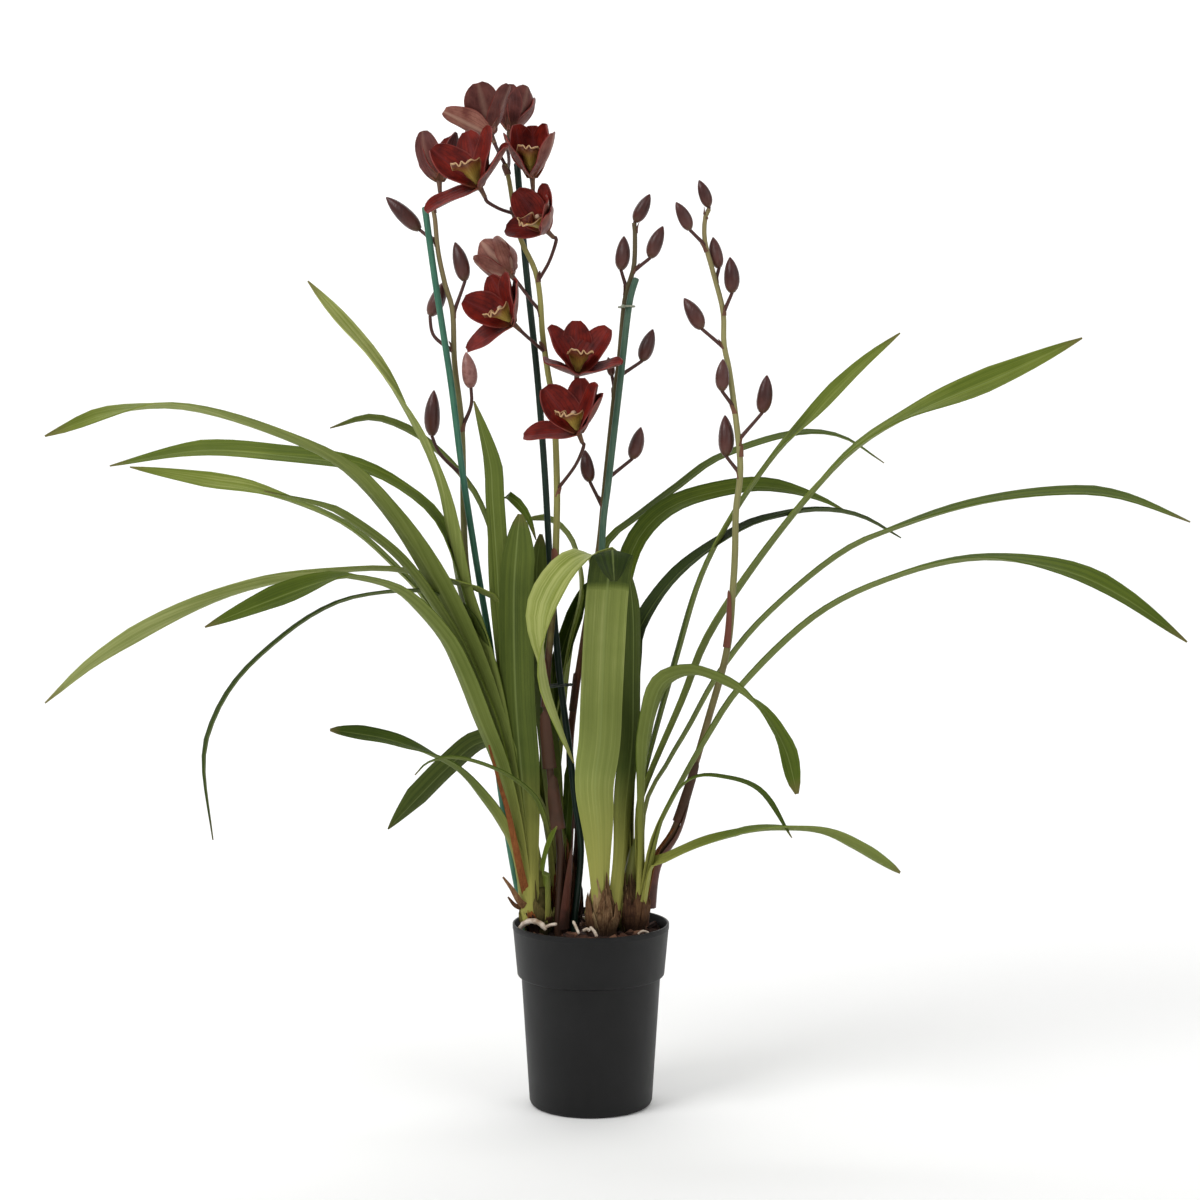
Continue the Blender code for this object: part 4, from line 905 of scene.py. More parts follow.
# longer dry blades beside the leaves: a route, a width in millimetres, how pale and how orange
dryBlades = {
    "left": (([(520, 868, -19), (508, 812, -25), (500, 785, -28), (489, 745, -30)], 6, 0.45, 0.85),
             ([(520, 902, -18), (512, 889, -20), (503, 877, -22)], 6, 0.80, 0.10),
             ([(516, 906, -14), (508, 897, -16)], 5, 0.45, 0.05)),
    # the near-black middle blade fills the dark place beside the middle stake's foot
    "middle": (([(574, 872, 8), (576, 830, 9), (573, 785, 10)], 9, 0.02, 0.0),),
    "right": (([(655, 858, 1), (664, 842, 1), (674, 828, 1)], 5, 0.40, 0.65),),
}
# the sheaths and torn strips: spans in degrees, layers off the bulb in millimetres, and how deep the
# torn edge runs as a share of the height
sheathForm = {"thickness": 0.8 * mm, "columns": 8, "rows": 12, "lean": 4 * mm, "strips": 15, "seed": 4,
              "tall": 70 * mm, "ripple": 0.5 * mm, "span": 62, "torn": 0.7, "stripSpan": (16, 34),
              "stripLayer": (0.3, 2.8), "stripTorn": (0.2, 0.6), "dryRoot": 16 * mm, "dryInset": 1.6 * mm}
# how each bulb's sheaths look: how dry and pale, how orange and how green they are, and how far the
# torn strips rise above the bulb's top in millimetres
sheathLooks = {
    "left": {"pale": (0.10, 0.55), "orange": 0.15, "green": 0.45, "rise": (-26, -12)},
    "middle": {"pale": (0.05, 0.35), "orange": 0.25, "green": 0.0, "rise": (2, 38)},
    "front": {"pale": (0.60, 1.40), "orange": 0.02, "green": 0.08, "rise": (-20, 6)},
    "right": {"pale": (0.30, 1.10), "orange": 0.02, "green": 0.08, "rise": (-14, 24)},
}


sheathColours = {
    "dry": [(0.22, (0.010, 0.005, 0.004)), (0.42, (0.045, 0.019, 0.011)), (0.65, (0.145, 0.072, 0.034)),
            (0.95, (0.42, 0.29, 0.15))],
    "orange": [(0.2, (0.07, 0.016, 0.005)), (0.8, (0.40, 0.13, 0.03))],
    "green": [(0.2, (0.07, 0.075, 0.014)), (0.8, (0.36, 0.34, 0.10))],
    # painted shade at the sheaths' foot, just above the mix
    "foot": (0.014, 0.007, 0.005),
}


def sheathMaterial():
    made, place = startMaterial("drySheath", 0.8, specular=0.12)
    tone = attributeOf(made, "tone")
    fibres = noiseAt(made, stretched(made, place, (1, 1, 0.05)), 1300.0, 4.0, 0.7)
    blotch = noiseAt(made, place, 130.0, 4.0, 0.6)
    shade = scaledSum(made, fibres, 0.62, times(made, blotch, 0.34))
    shade = scaledSum(made, tone, 0.46, calc(made, "SUBTRACT", shade, 0.16))
    colour = ramp(made, shade, sheathColours["dry"])
    for tint, strength in (("orange", 0.8), ("green", 0.85)):
        colour = blendColours(made, times(made, attributeOf(made, tint), strength), colour,
                              ramp(made, shade, sheathColours[tint]))
    height = heightOf(made)
    # painted shade: sheaths, bulbs and dry blades darken to near black just above the mix
    foot = faded(made, height, 0.134, 0.150, 0.9, 0.0)
    colour = blendColours(made, foot, colour, sheathColours["foot"])
    return finishMaterial(made, colour, fibres, 0.8 * mm)


def sheathBreadth(t):
    return max(0.10, min(1.0, 1.15 - t) ** 0.8)


def bulbRadius(radius, height):  # the bulb's radius at this height above the mix
    low = mix["top"] + bulbForm["shoulder"]
    share = clamped((height - low) / (bulbForm["top"] - low))
    above = max(0.0, height - bulbForm["top"]) / sheathForm["tall"]
    return radius * eased(bulbForm["outline"], share) * max(0.4, 1.0 - above)


def wrapSheath(side, radius, turn, rise, spread, layer, ragged, pointed, draw):
    columns = sheathForm["columns"]
    flap = unitGrid(columns, sheathForm["rows"])
    low = mix["top"] - 1 * mm
    high = bulbForm["top"] + rise * mm
    teeth = [draw.uniform(0, 1) for _ in range(columns + 1)]
    for vertex, t, s in gridPlaces(flap):
        tooth = teeth[round((s + 1) / 2 * columns)]
        height = low + (high - low) * t * (1 - ragged * tooth * (0.4 + 0.6 * abs(s)) * t)
        around = radians(turn + spread * s * max(0.08, 1.0 - pointed * t**1.9))
        hug = bulbRadius(radius, height) + layer
        wave = sheathForm["ripple"] * sin(7 * s + 5 * t + turn)
        reach = hug + sheathForm["lean"] * t * t * pointed + wave
        vertex.co = bulbAxis(side, height) + Vector((cos(around), sin(around), 0)) * reach
    return walled(flap, sheathForm["thickness"] * 0.7, 50)


def tinted(piece, tone, orange=0.0, green=0.0):
    for name, value in (("tone", tone), ("orange", orange), ("green", green)):
        paintNumber(piece, name, value)
    return piece


def makeBulbs():
    draw = random.Random(sheathForm["seed"])
    dry = sheathMaterial()
    for side, (x, y, radius) in bulbs.items():
        radius *= mm
        look = sheathLooks[side]
        low, top = mix["top"] + bulbForm["shoulder"], bulbForm["top"]
        outline = [(bulbForm["foot"], mix["top"] - bulbForm["holeDepth"] + bulbForm["gap"]),
                   (bulbForm["foot"], low)]
        heights = [low + (top - low) * k / bulbForm["rings"] for k in range(1, bulbForm["rings"] + 1)]
        outline += [(bulbRadius(radius, height), height) for height in heights]
        outline.append((radius * 0.45, top + 1.5 * mm))
        body = turnedShell("bulbBody", outline, bulbForm["sides"])
        for vertex in body.data.vertices:
            turn = atan2(vertex.co.y, vertex.co.x)
            swell = 1 + bulbForm["swell"] * cos(bulbForm["ribs"] * turn + x)
            vertex.co = Vector((vertex.co.x * swell, vertex.co.y * swell, vertex.co.z))
        body.data.transform(Matrix.Translation((x * mm, y * mm, 0)))
        pieces = [tinted(smoothed(body, 60), 0.1, 0.0, look["green"])]
        for turn, rise in sheaths[side]:
            flap = wrapSheath(side, radius, turn, rise, sheathForm["span"], 0.2 * mm, sheathForm["torn"],
                              0.7, draw)
            pieces.append(tinted(flap, draw.uniform(*look["pale"]), 0.4 * look["orange"], look["green"]))
        for i in range(sheathForm["strips"]):
            turn = 360 * (i + draw.uniform(-0.4, 0.4)) / sheathForm["strips"]
            flap = wrapSheath(side, radius, turn, draw.uniform(*look["rise"]),
                              draw.uniform(*sheathForm["stripSpan"]),
                              draw.uniform(*sheathForm["stripLayer"]) * mm,
                              draw.uniform(*sheathForm["stripTorn"]), 0.55, draw)
            orange = 1.0 if draw.random() < look["orange"] else 0.0
            green = 1.0 if draw.random() < look["green"] else 0.0
            pieces.append(tinted(flap, draw.uniform(*look["pale"]), orange, green))
        for route, width, tone, orange in dryBlades.get(side, ()):
            places = [sighted(*point) for point in route]
            root = bulbAxis(side, top - sheathForm["dryRoot"])
            outward = ((places[0] - root) * Vector((1, 1, 0))).normalized()
            root += outward * (radius - sheathForm["dryInset"])
            blade = growBlade("dryBlade", flow([root, *places], 20), width * mm, (60, 60),
                              sheathForm["thickness"], (dry,), (0.2, 0.2), sheathBreadth)
            pieces.append(tinted(blade, tone, orange))
        for piece in pieces:
            skinned(piece, dry)
        gathered(pieces, "sheath", "bulb_" + side)


makeBulbs()

# stakes, ties and flower spikes

stakes = {
    "stake_left": [(512, 860, 10), (497, 760, 14), (493, 668, 14), (476, 560, 14), (462, 469, 14),
                   (451, 383, 14), (435.5, 283, 14), (425, 208, 14)],
    "stake_middle": [(581, 850, -4), (575, 800, 0), (570, 754, 4), (563, 702, 6), (558, 660, 6),
                     (550, 563, 6), (544.5, 469, 6), (537, 373, 6), (526, 268, 6), (517, 164, 6)],
    "stake_right": [(604, 860, 12), (603, 700, 12), (602, 548, 12), (609, 478, 12),
                    (619, 392, 12), (629, 306, 12), (636, 279, 11)],
}

spikes = {
    "spike_1": [(533, 870, 19), (512, 790, 22), (498, 720, 24), (482, 660, 24), (468, 580, 24),
                (464, 530, 24), (462, 430, 24), (454.6, 363, 22), (452.7, 312, 20),
                (445, 284, 18), (438, 251, 16), (434.7, 217, 14), (431, 203, 13)],
    "spike_2": [(560, 850, -13), (552, 790, -12), (547, 730, -11), (547, 680, -9), (551, 630, -7),
                (555, 580, -5), (556, 543, -5), (557, 488, -5), (554, 411, -5), (548, 373, -5),
                (542.6, 335, -5), (540, 297, -5), (535, 270, -5), (521, 240, -5), (514, 210, -4),
                (509, 180, -3), (505, 164, -2)],
    "spike_3": [(569, 860, 27), (571, 800, 25), (570, 745, 24), (576, 690, 24), (582, 650, 23),
                (590, 600, 22), (599, 548, 21), (606, 478, 19), (615, 392, 19), (619, 363, 19),
                (624, 306, 19), (628, 287, 18), (634, 266, 15), (635, 235, 13), (634, 223, 13)],
    "spike_4": [(652, 866, 11), (674, 830, 8), (688, 788, 6), (708, 720, 4), (727, 650, 3),
                (733, 587, 3), (735, 553, 3), (736, 510, 3), (740, 478, 3), (739, 446, 3),
                (730, 375, 3), (724, 344, 3), (723, 311, 3), (713, 272, 3), (705, 242, 3),
                (705, 219, 3), (709, 209, 3)],
}

# closed buds: the tip, the bud's base, and the places of its stalk down to the stem
buds = {
    "spike_1": [
        [(386, 197, 23), (420, 230, 24), (437, 244, 16)],
        [(455, 242, 26), (465, 281, 24), (453, 315, 20)],
        [(445, 281, 26), (430, 316, 26), (434, 336, 25), (454, 352, 21.5)],
        [(466, 352, 14), (471, 388, 16), (471, 406, 19), (462, 428, 24)],
        [(434, 390, 27), (432, 436, 27), (441, 455, 28), (462, 476, 24)],
    ],
    "spike_3": [
        [(650, 194, 11), (635, 222, 13), (634, 226, 13)],
        [(663, 226, 8), (650, 258, 11), (634, 272, 15.5)],
        [(624, 236, 24), (621, 270, 22), (627, 290, 18)],
        [(653, 329, 24), (642, 361, 24), (618, 378, 19)],
        [(608, 357, 26), (612, 376, 24), (615, 392, 19)],
        [(641, 427, 24), (632, 459, 24), (606, 480, 19)],
        [(585, 450, 26), (590, 482, 24), (603, 508, 20)],
    ],
    "spike_4": [
        [(699, 180, 1), (709, 207, 3), (709, 211, 3)],
        [(676, 202, -4), (690, 230, -1), (705, 246, 3)],
        [(713, 237, 10), (719, 268, 8), (715, 281, 3)],
        [(730, 257, -4), (732, 293, -2), (723, 313, 3)],
        [(684, 298, 8), (702, 329, 6), (725, 348, 3)],
        [(723, 359, -6), (722, 391, -4), (734, 408, 3)],
        [(767, 375, -2), (762, 413, 0), (740, 440, 3)],
        [(725, 415, 10), (726, 456, 8), (740, 474, 3)],
    ],
}

# each tie: the stake, the spike and the height in metres
ties = {
    "tie_left": ("stake_left", "spike_1", 0.332),
    "tie_middle": ("stake_middle", "spike_2", 0.322),
    "tie_right": ("stake_right", "spike_3", 0.610),
}

rodForm = {"stake": 2.5 * mm, "stem": 2.6 * mm, "stalk": 1.0 * mm, "tie": 0.8 * mm,
           "stakeSteps": 70, "stemSteps": 90, "stakeSides": 16, "stalkSides": 10, "straight": 6.9 * mm,
           "tieGap": 0.7 * mm, "tieSteps": 12, "tail": 0.9 * mm, "tailCoil": 0.8 * mm,
           "bractLength": 8 * mm, "bractRadius": 2.3 * mm}


def footed(name, route, segments):  # a rod that stands straight in its hole, then follows its route
    x, y = feet[name]
    depth = bulbForm["stakeHoleDepth"] if name in stakes else bulbForm["holeDepth"]
    low = Vector((x * mm, y * mm, mix["top"] - depth + bulbForm["gap"]))
    high = Vector((x * mm, y * mm, mix["top"] + rodForm["straight"]))
    return [low, *flow([high, *[sighted(*point) for point in route]], segments)]


stakeCoats = {"stake_left": ("tealCoat", (0.022, 0.105, 0.068), (0.070, 0.205, 0.130)),
              "stake_middle": ("darkCoat", (0.004, 0.014, 0.009), (0.012, 0.034, 0.022)),
              "stake_right": ("greyCoat", (0.032, 0.085, 0.054), (0.090, 0.160, 0.105))}
tieCoats = {"tie_left": ("beigeTie", (0.34, 0.26, 0.15), (0.55, 0.46, 0.30)),
            "tie_middle": ("darkTie", (0.012, 0.022, 0.014), (0.045, 0.060, 0.040)),
            "tie_right": ("greyTie", (0.20, 0.22, 0.16), (0.36, 0.38, 0.28))}


def stakeMaterial(name, dark, light):
    made, place = startMaterial(name, 0.42, specular=0.3)
    streaks = noiseAt(made, stretched(made, place, (1, 1, 0.05)), 700.0, 3.0)
    blotch = noiseAt(made, place, 45.0, 4.0)
    shade = scaledSum(made, streaks, 0.5, times(made, blotch, 0.5))
    colour = ramp(made, shade, [(0.35, dark), (0.7, light)])
    rough = scaledSum(made, blotch, 0.25, 0.30)
    return finishMaterial(made, colour, streaks, 0.15 * mm, rough)


def makeStakes():
    for name, route in stakes.items():
        places = footed(name, route, rodForm["stakeSteps"])
        radii = [rodForm["stake"]] * len(places)
        over = (places[-1] - places[-2]).normalized() * 1.0 * mm  # the rounded end
        places += [places[-1] + over * 0.6, places[-1] + over]
        radii += [rodForm["stake"] * 0.85, rodForm["stake"] * 0.45]
        rod = rodAlong(plainName(name), places, radii, rodForm["stakeSides"],
                       stakeMaterial(*stakeCoats[name]))
        handOver(rod, "stake_dark" if name == "stake_middle" else "stake_teal", name)


makeStakes()


def nearestOn(places, start):  # the place on a line of places that is nearest to this one
    nearest = []
    for low, high in zip(places, places[1:]):
        _, share = intersect_point_line(start, low, high)
        nearest.append(low.lerp(high, clamped(share)))
    return min(nearest, key=lambda place: (place - start).length)


def rodPlace(name, height):  # where a stake or stem passes this height
    route = stakes[name] if name in stakes else spikes[name]
    places = footed(name, route, 40)
    for low, high in zip(places, places[1:]):
        if low.z <= height <= high.z:
            return low.lerp(high, (height - low.z) / (high.z - low.z))
    return places[-1]


def plainSkin(name, dark, light, scale):
    made, place = startMaterial(name, 0.45, specular=0.3)
    spots = noiseAt(made, place, scale, 4.0, 0.6)
    return finishMaterial(made, ramp(made, spots, [(0.35, dark), (0.65, light)]), spots, 0.2 * mm)


def makeTies():
    for name, (stakeName, spikeName, height) in ties.items():
        ends = rodPlace(stakeName, height), rodPlace(spikeName, height)
        lineUp = (ends[1] - ends[0]).normalized()
        reach = rodForm["stem"] + rodForm["tie"] + rodForm["tieGap"]
        start = atan2(lineUp.y, lineUp.x)
        loop = []
        for end, first in ((ends[1], start - pi / 2), (ends[0], start + pi / 2)):
            for i in range(rodForm["tieSteps"] + 1):
                turn = first + pi * i / rodForm["tieSteps"]
                loop.append(end + Vector((cos(turn), sin(turn), 0)) * reach)
        loop = flow(loop + [loop[0] + Vector((0, 0, 0.5 * mm))], 60)
        soft = plainSkin(*tieCoats[name], 300.0)
        pieces = [rodAlong("wire", loop, [rodForm["tie"]] * len(loop), 10, soft)]
        knot = loop[len(loop) // 2]  # the twisted ends stand off the loop
        out = (knot - (ends[0] + ends[1]) / 2).normalized()
        for turn in (0, pi):
            tail = []
            for k in range(8):
                coil = Vector((0, sin(turn + k * 1.3), cos(turn + k * 1.3)))
                tail.append(knot + out * (k * rodForm["tail"]) + coil * rodForm["tailCoil"])
            tail = flow(tail, 16)
            pieces.append(rodAlong("tail", tail, [rodForm["tie"] * 0.8] * len(tail), 8, soft))
        gathered(pieces, "tie", name)


makeTies()


# blooms: the seat of the ovary, the way it faces, the shape that it opens to, its size, its turn in
# degrees, its spike, and the places of its stalk from the stem
blooms = {
    "bloom_1": ((485, 197, -26), (-20, -24, 38), "hooded", 1.12, 26,
                "spike_2", [(513, 214, -5), (500, 209, -18)]),
    "bloom_2": ((533, 189, -4), (-2, -14, 38), "cup", 1.02, 0,
                "spike_2", [(519, 232, -5), (531, 208, -5)]),
    "bloom_3": ((495, 144, -2), (-16, 14, 38), "flared", 1.00, 22,
                "spike_2", [(505, 164, -5), (500, 155, -5)]),
    "bloom_4": ((508, 140, 38), (6, 16, 38), "closed", 0.95, 0,
                "spike_2", [(507, 172, -2), (509, 161, 18)]),
    "bloom_5": ((553, 237, -19), (-24, -30, 22), "spread", 0.90, -20,
                "spike_2", [(539, 281, -5), (549, 262, -14)]),
    "bloom_6": ((517, 282, 6), (-20, 20, 24), "closed", 0.92, 0,
                "spike_2", [(541, 312, -5), (530, 299, -1)]),
    "bloom_7": ((520, 330, -18), (-26, -26, 24), "spread", 1.00, 28,
                "spike_2", [(544, 352, -5), (532, 341, -14)]),
    "bloom_8": ((576, 385, -7), (4, -22, 36), "goblet", 1.04, 0,
                "spike_2", [(552, 402, -5), (562, 396, -7)]),
    "bloom_9": ((582, 442, -24), (-12, -24, 34), "spread", 1.04, 0,
                "spike_2", [(557, 490, -5), (575, 466, -17)]),
    "bloom_10": ((440, 192, 14), (-3, 8, 38), "closed", 1.04, 180,
                 "spike_1", [(431, 203, 13), (433, 201, 13)]),
}

bloomForm = {"reach": 40 * mm, "sepal": 23 * mm, "petal": 27 * mm, "rise": 1.8 * mm,
             "ovary": 8 * mm, "ovaryRadius": 2.1 * mm, "thickness": 0.9 * mm, "cup": 0.34,
             "columns": 8, "rows": 14, "column": 17 * mm, "cap": 2.2 * mm, "capShape": (1.0, 0.85, 0.75, 1),
             "ruffle": 0.85 * mm, "dark": 0.55}
# the tepals of each shape of bloom: the dorsal sepal, two petals and two lateral sepals, each with
# its turn round the axis and how far it leans from the axis at its foot and its tip, in degrees
opened = {
    "hooded": ((0, 52, 34), (62, 48, 30), (-62, 48, 30), (100, 58, 52), (-122, 78, 86)),
    "spread": ((0, 52, 34), (60, 46, 28), (-62, 48, 32), (80, 54, 30), (-110, 74, 84)),
    "goblet": ((0, 46, 26), (62, 44, 34), (-62, 44, 34), (126, 62, 54), (-126, 62, 54)),
    "flared": ((0, 46, 44), (64, 48, 50), (-61, 45, 47), (127, 56, 54), (-125, 53, 50)),
    "closed": ((0, 58, -12), (62, 54, -14), (-62, 54, -14), (126, 56, -6), (-126, 56, -6)),
    "cup": ((0, 48, -4), (54, 44, -2), (-54, 44, -2), (104, 50, 8), (-104, 50, 8)),
}


def bloomFrame(facing, turn):  # right, up and facing directions, as a matrix's columns
    axis = Vector(facing).normalized()
    up = (Vector((0.0, 0.0, 1.0)) - axis * axis.z).normalized()
    made = Matrix((up.cross(axis), up, axis)).transposed()
    return made @ Matrix.Rotation(radians(turn), 3, "Z")


budForm = {"radius": 6.2 * mm, "slimness": 0.225, "segments": 18, "rings": 14,
           "shape": (0.34, 0.78, 0.96, 1.0, 0.97, 0.88, 0.72, 0.46, 0.08)}


budColours = {
    "bud": [(0.1, (0.090, 0.065, 0.028)), (0.3, (0.070, 0.019, 0.013)), (0.6, (0.026, 0.005, 0.005)),
            (1.0, (0.050, 0.009, 0.009))],
    "pale": [(0.3, (0.20, 0.070, 0.060)), (0.7, (0.42, 0.21, 0.18))],
    "lines": (0.17, 0.060, 0.045),
}


def budMaterial():
    made, place = startMaterial("budSkin", 0.33, specular=0.34)
    share = attributeOf(made, "share")
    cloudy = noiseAt(made, place, 220.0, 4.0)
    colour = ramp(made, scaledSum(made, cloudy, 0.35, times(made, share, 0.8)),
                  budColours["bud"])
    lines = noiseAt(made, stretched(made, place, (1, 1, 0.15)), 900.0, 3.0)
    colour = blendColours(made, times(made, lines, 0.26), colour, budColours["lines"])
    colour = blendColours(made, attributeOf(made, "pale"), colour, ramp(made, cloudy, budColours["pale"]))
    return finishMaterial(made, colour, lines, 0.3 * mm)


stemColours = {  # by height, from 0 at the mix to 1 at the top of the plant
    "spike_1": [(0.0, (0.10, 0.06, 0.03)), (0.35, (0.21, 0.17, 0.065)), (0.6, (0.26, 0.25, 0.10)),
                (1.0, (0.27, 0.18, 0.10))],
    "spike_2": [(0.0, (0.045, 0.020, 0.012)), (0.34, (0.075, 0.034, 0.018)), (0.42, (0.26, 0.25, 0.07)),
                (0.75, (0.38, 0.36, 0.11)), (1.0, (0.24, 0.18, 0.07))],
    "spike_3": [(0.0, (0.09, 0.03, 0.02)), (0.3, (0.17, 0.055, 0.035)), (0.5, (0.15, 0.13, 0.05)),
                (1.0, (0.12, 0.09, 0.05))],
    "spike_4": [(0.0, (0.11, 0.045, 0.03)), (0.2, (0.15, 0.095, 0.045)), (0.38, (0.27, 0.26, 0.10)),
                (0.7, (0.36, 0.34, 0.14)), (1.0, (0.22, 0.15, 0.07))],
    "stalk": [(0.0, (0.09, 0.05, 0.03)), (0.6, (0.085, 0.035, 0.030)), (1.0, (0.080, 0.026, 0.026))],
    "bract": [(0.02, (0.030, 0.012, 0.009)), (0.07, (0.115, 0.034, 0.024)), (0.12, (0.100, 0.036, 0.022)),
              (0.19, (0.055, 0.026, 0.014)), (0.29, (0.075, 0.030, 0.018)), (0.35, (0.22, 0.070, 0.050)),
              (0.7, (0.20, 0.090, 0.050)), (1.0, (0.11, 0.045, 0.035))],
    "lines": (0.045, 0.024, 0.011),
}


def stemMaterial(name, stops):
    made, place = startMaterial(name, 0.48, specular=0.22)
    height = heightOf(made)
    rise = faded(made, height, 0.13, 0.75)
    cloudy = noiseAt(made, place, 60.0, 4.0)
    rise = scaledSum(made, offHalf(made, cloudy), 0.16, rise)
    lines = noiseAt(made, stretched(made, place, (1, 1, 0.05)), 800.0, 3.0)
    colour = ramp(made, rise, stops)
    colour = blendColours(made, times(made, lines, 0.5), colour, stemColours["lines"])
    return finishMaterial(made, colour, lines, 0.25 * mm)


def oneBud(material):  # three sepals closed to a point, a unit long from its base up Z
    pick(None)
    bpy.ops.mesh.primitive_uv_sphere_add(segments=budForm["segments"], ring_count=budForm["rings"])
    bud = bpy.context.object
    shares = []
    for vertex in bud.data.vertices:
        share = (vertex.co.z + 1) / 2
        turn = atan2(vertex.co.y, vertex.co.x)
        wide = along(budForm["shape"], share) if 0.01 < share < 0.99 else 0.0
        seam = 1 - 0.10 * sin(pi * share) * abs(cos(1.5 * turn)) ** 6
        bend = 0.10 * sin(pi * share)
        vertex.co = Vector((cos(turn) * wide * seam + bend, sin(turn) * wide * seam, share))
        shares.append(share)
    layer = bud.data.attributes.new("share", "FLOAT", "POINT")
    layer.data.foreach_set("value", shares)
    return smoothed(skinned(bud, material), 60)


def placeBud(pattern, tip, base, roll):
    length = (base - tip).length
    radius = min(budForm["radius"], budForm["slimness"] * length)
    bud = copied(pattern, "bud")
    aim = (tip - base).to_track_quat("Z", "Y").to_matrix().to_4x4()
    bud.data.transform(Matrix.Translation(base) @ aim @ Matrix.Rotation(roll, 4, "Z")
                       @ Matrix.Diagonal((radius, radius, length, 1)))
    return bud


def bract(places, start, out, length, width, material, flare=0.9):
    # a scale that clasps the stem from one of its places up; start may lie between two of them, and
    # flare is how far the tip stands off, or closes in where it is negative
    isShort = flare > 0.5
    scale = unitGrid(6, 6 if isShort else 16)
    stride = (places[int(start) + 1] - places[int(start)]).length
    for vertex, t, s in gridPlaces(scale):
        i = min(start + t * length / stride, len(places) - 1.01)
        place = places[int(i)].lerp(places[int(i) + 1], i - int(i))
        heading = (places[int(i) + 1] - places[int(i)]).normalized()
        off = (out - heading * out.dot(heading)).normalized()
        around = s * 1.5 * (1 - t) ** (0.7 if isShort else 0.35)
        reach = width * (1.0 + flare * t * t)
        vertex.co = (place + off * (reach * cos(around))
                     + heading.cross(off) * (reach * sin(around) + 0.15 * width * s * (1 - t)))
    return walled(skinned(scale, material), 0.4 * mm, 60)


# old sheaths on the stems: spike, place from the foot to the tip, length and radius in millimetres,
# and the flare of the tip where it isn't the usual one
stemSheaths = [("spike_1", 0.10, 26, 3.6), ("spike_1", 0.27, 24, 3.4), ("spike_2", 0.13, 42, 5.2),
               ("spike_2", 0.0, 62, 8.6), ("spike_2", 0.21, 44, 5.0), ("spike_2", 0.29, 38, 4.2),
               ("spike_2", 0.47, 16, 3.1), ("spike_3", 0.13, 26, 3.5), ("spike_3", 0.30, 30, 3.5),
               ("spike_4", 0.02, 90, 7.4, -0.42), ("spike_4", 0.15, 50, 3.8), ("spike_4", 0.40, 44, 3.6),
               ("spike_4", 0.66, 9, 3.0)]

paleBud = ("spike_1", 3)  # this one is about to open


def makeSpikes():
    skin = budMaterial()
    stalkSkin = stemMaterial("stalkSkin", stemColours["stalk"])
    scaleSkin = stemMaterial("bractSkin", stemColours["bract"])
    pattern = oneBud(skin)
    for name, route in spikes.items():
        places = footed(name, route, rodForm["stemSteps"])
        count = len(places)
        radii = [rodForm["stem"] * (1.1 - 0.45 * (i / count) ** 2) for i in range(count)]
        stem = stemMaterial(name + "Skin", stemColours[name])
        pieces = [rodAlong("stem", places, radii, 16, stem)]
        for owner, share, length, radius, *flare in stemSheaths:
            if owner == name:
                out = Vector((cos(9 * share), -abs(sin(9 * share)), 0))
                pieces.append(bract(places, 1 + share * (count - 2), out, length * mm, radius * mm,
                                    scaleSkin, *(flare or [0.12])))
        for i, points in enumerate(buds.get(name, [])):
            tip, base, *rest = [sighted(*point) for point in points]
            rest[-1] = nearestOn(places, rest[-1])
            bud = placeBud(pattern, tip, base, 2.1 * i)
            paintNumber(bud, "pale", 0.85 if (name, i) == paleBud else 0.06 * (i % 3))
            pieces.append(bud)
            pieces.append(taperedRod("stalk", [tip.lerp(base, 0.93), base, *rest], 14,
                                     lambda t: rodForm["stalk"] * (1.35 + 0.5 * t**3),
                                     rodForm["stalkSides"], stalkSkin))
            pieces.append(stemBract(rest[-1], base, places, scaleSkin))
        for seat, facing, _, _, _, owner, points in blooms.values():
            if owner == name:
                seat = sighted(*seat)
                axis = Vector(facing).normalized()
                last = seat - axis * 0.35 * mm
                start = [sighted(*point) for point in points]
                start[0] = nearestOn(places, start[0])
                pieces.append(taperedRod("stalk", [*start, last - axis * 4 * mm, last], 18,
                                         lambda t: rodForm["stalk"] * (1.5 - 0.2 * sin(pi * t)),
                                         rodForm["stalkSides"], stalkSkin))
                pieces.append(stemBract(start[0], start[1], places, scaleSkin))
        gathered(pieces, "spike", name)
    bpy.data.objects.remove(pattern, do_unlink=True)


def stemBract(place, toward, places, material):
    near = min(range(1, len(places) - 1), key=lambda i: (places[i] - place).length)
    return bract(places, max(1.0, near - 0.3), toward - place, rodForm["bractLength"],
                 rodForm["bractRadius"], material)


makeSpikes()

# flowers

def veinLines(material, across, count):  # fine lines that run out along a tepal
    uv = uvParts(material)[0]
    drift = noiseAt(material, stretched(material, uv, (3, 4, 1)), 1.0, 2.0)
    fan = scaledSum(material, drift, 0.9, times(material, across, count))
    wave = calc(material, "PINGPONG", fan, 0.5)
    return faded(material, wave, 0.0, 0.16, 1.0, 0.0)


petalColours = {
    "back": [(0.3, (0.19, 0.056, 0.043)), (0.7, (0.43, 0.185, 0.135))],
    "darkBack": [(0.3, (0.034, 0.005, 0.005)), (0.7, (0.090, 0.014, 0.013))],
    "front": [(0.3, (0.070, 0.004, 0.003)), (0.7, (0.225, 0.015, 0.007))],
    "backVeins": (0.10, 0.020, 0.020), "frontVeins": (0.052, 0.004, 0.006),
    "backStreak": (0.60, 0.38, 0.28), "frontStreak": (0.16, 0.022, 0.022),
    "edge": (0.24, 0.06, 0.05), "claw": (0.17, 0.10, 0.035),
}


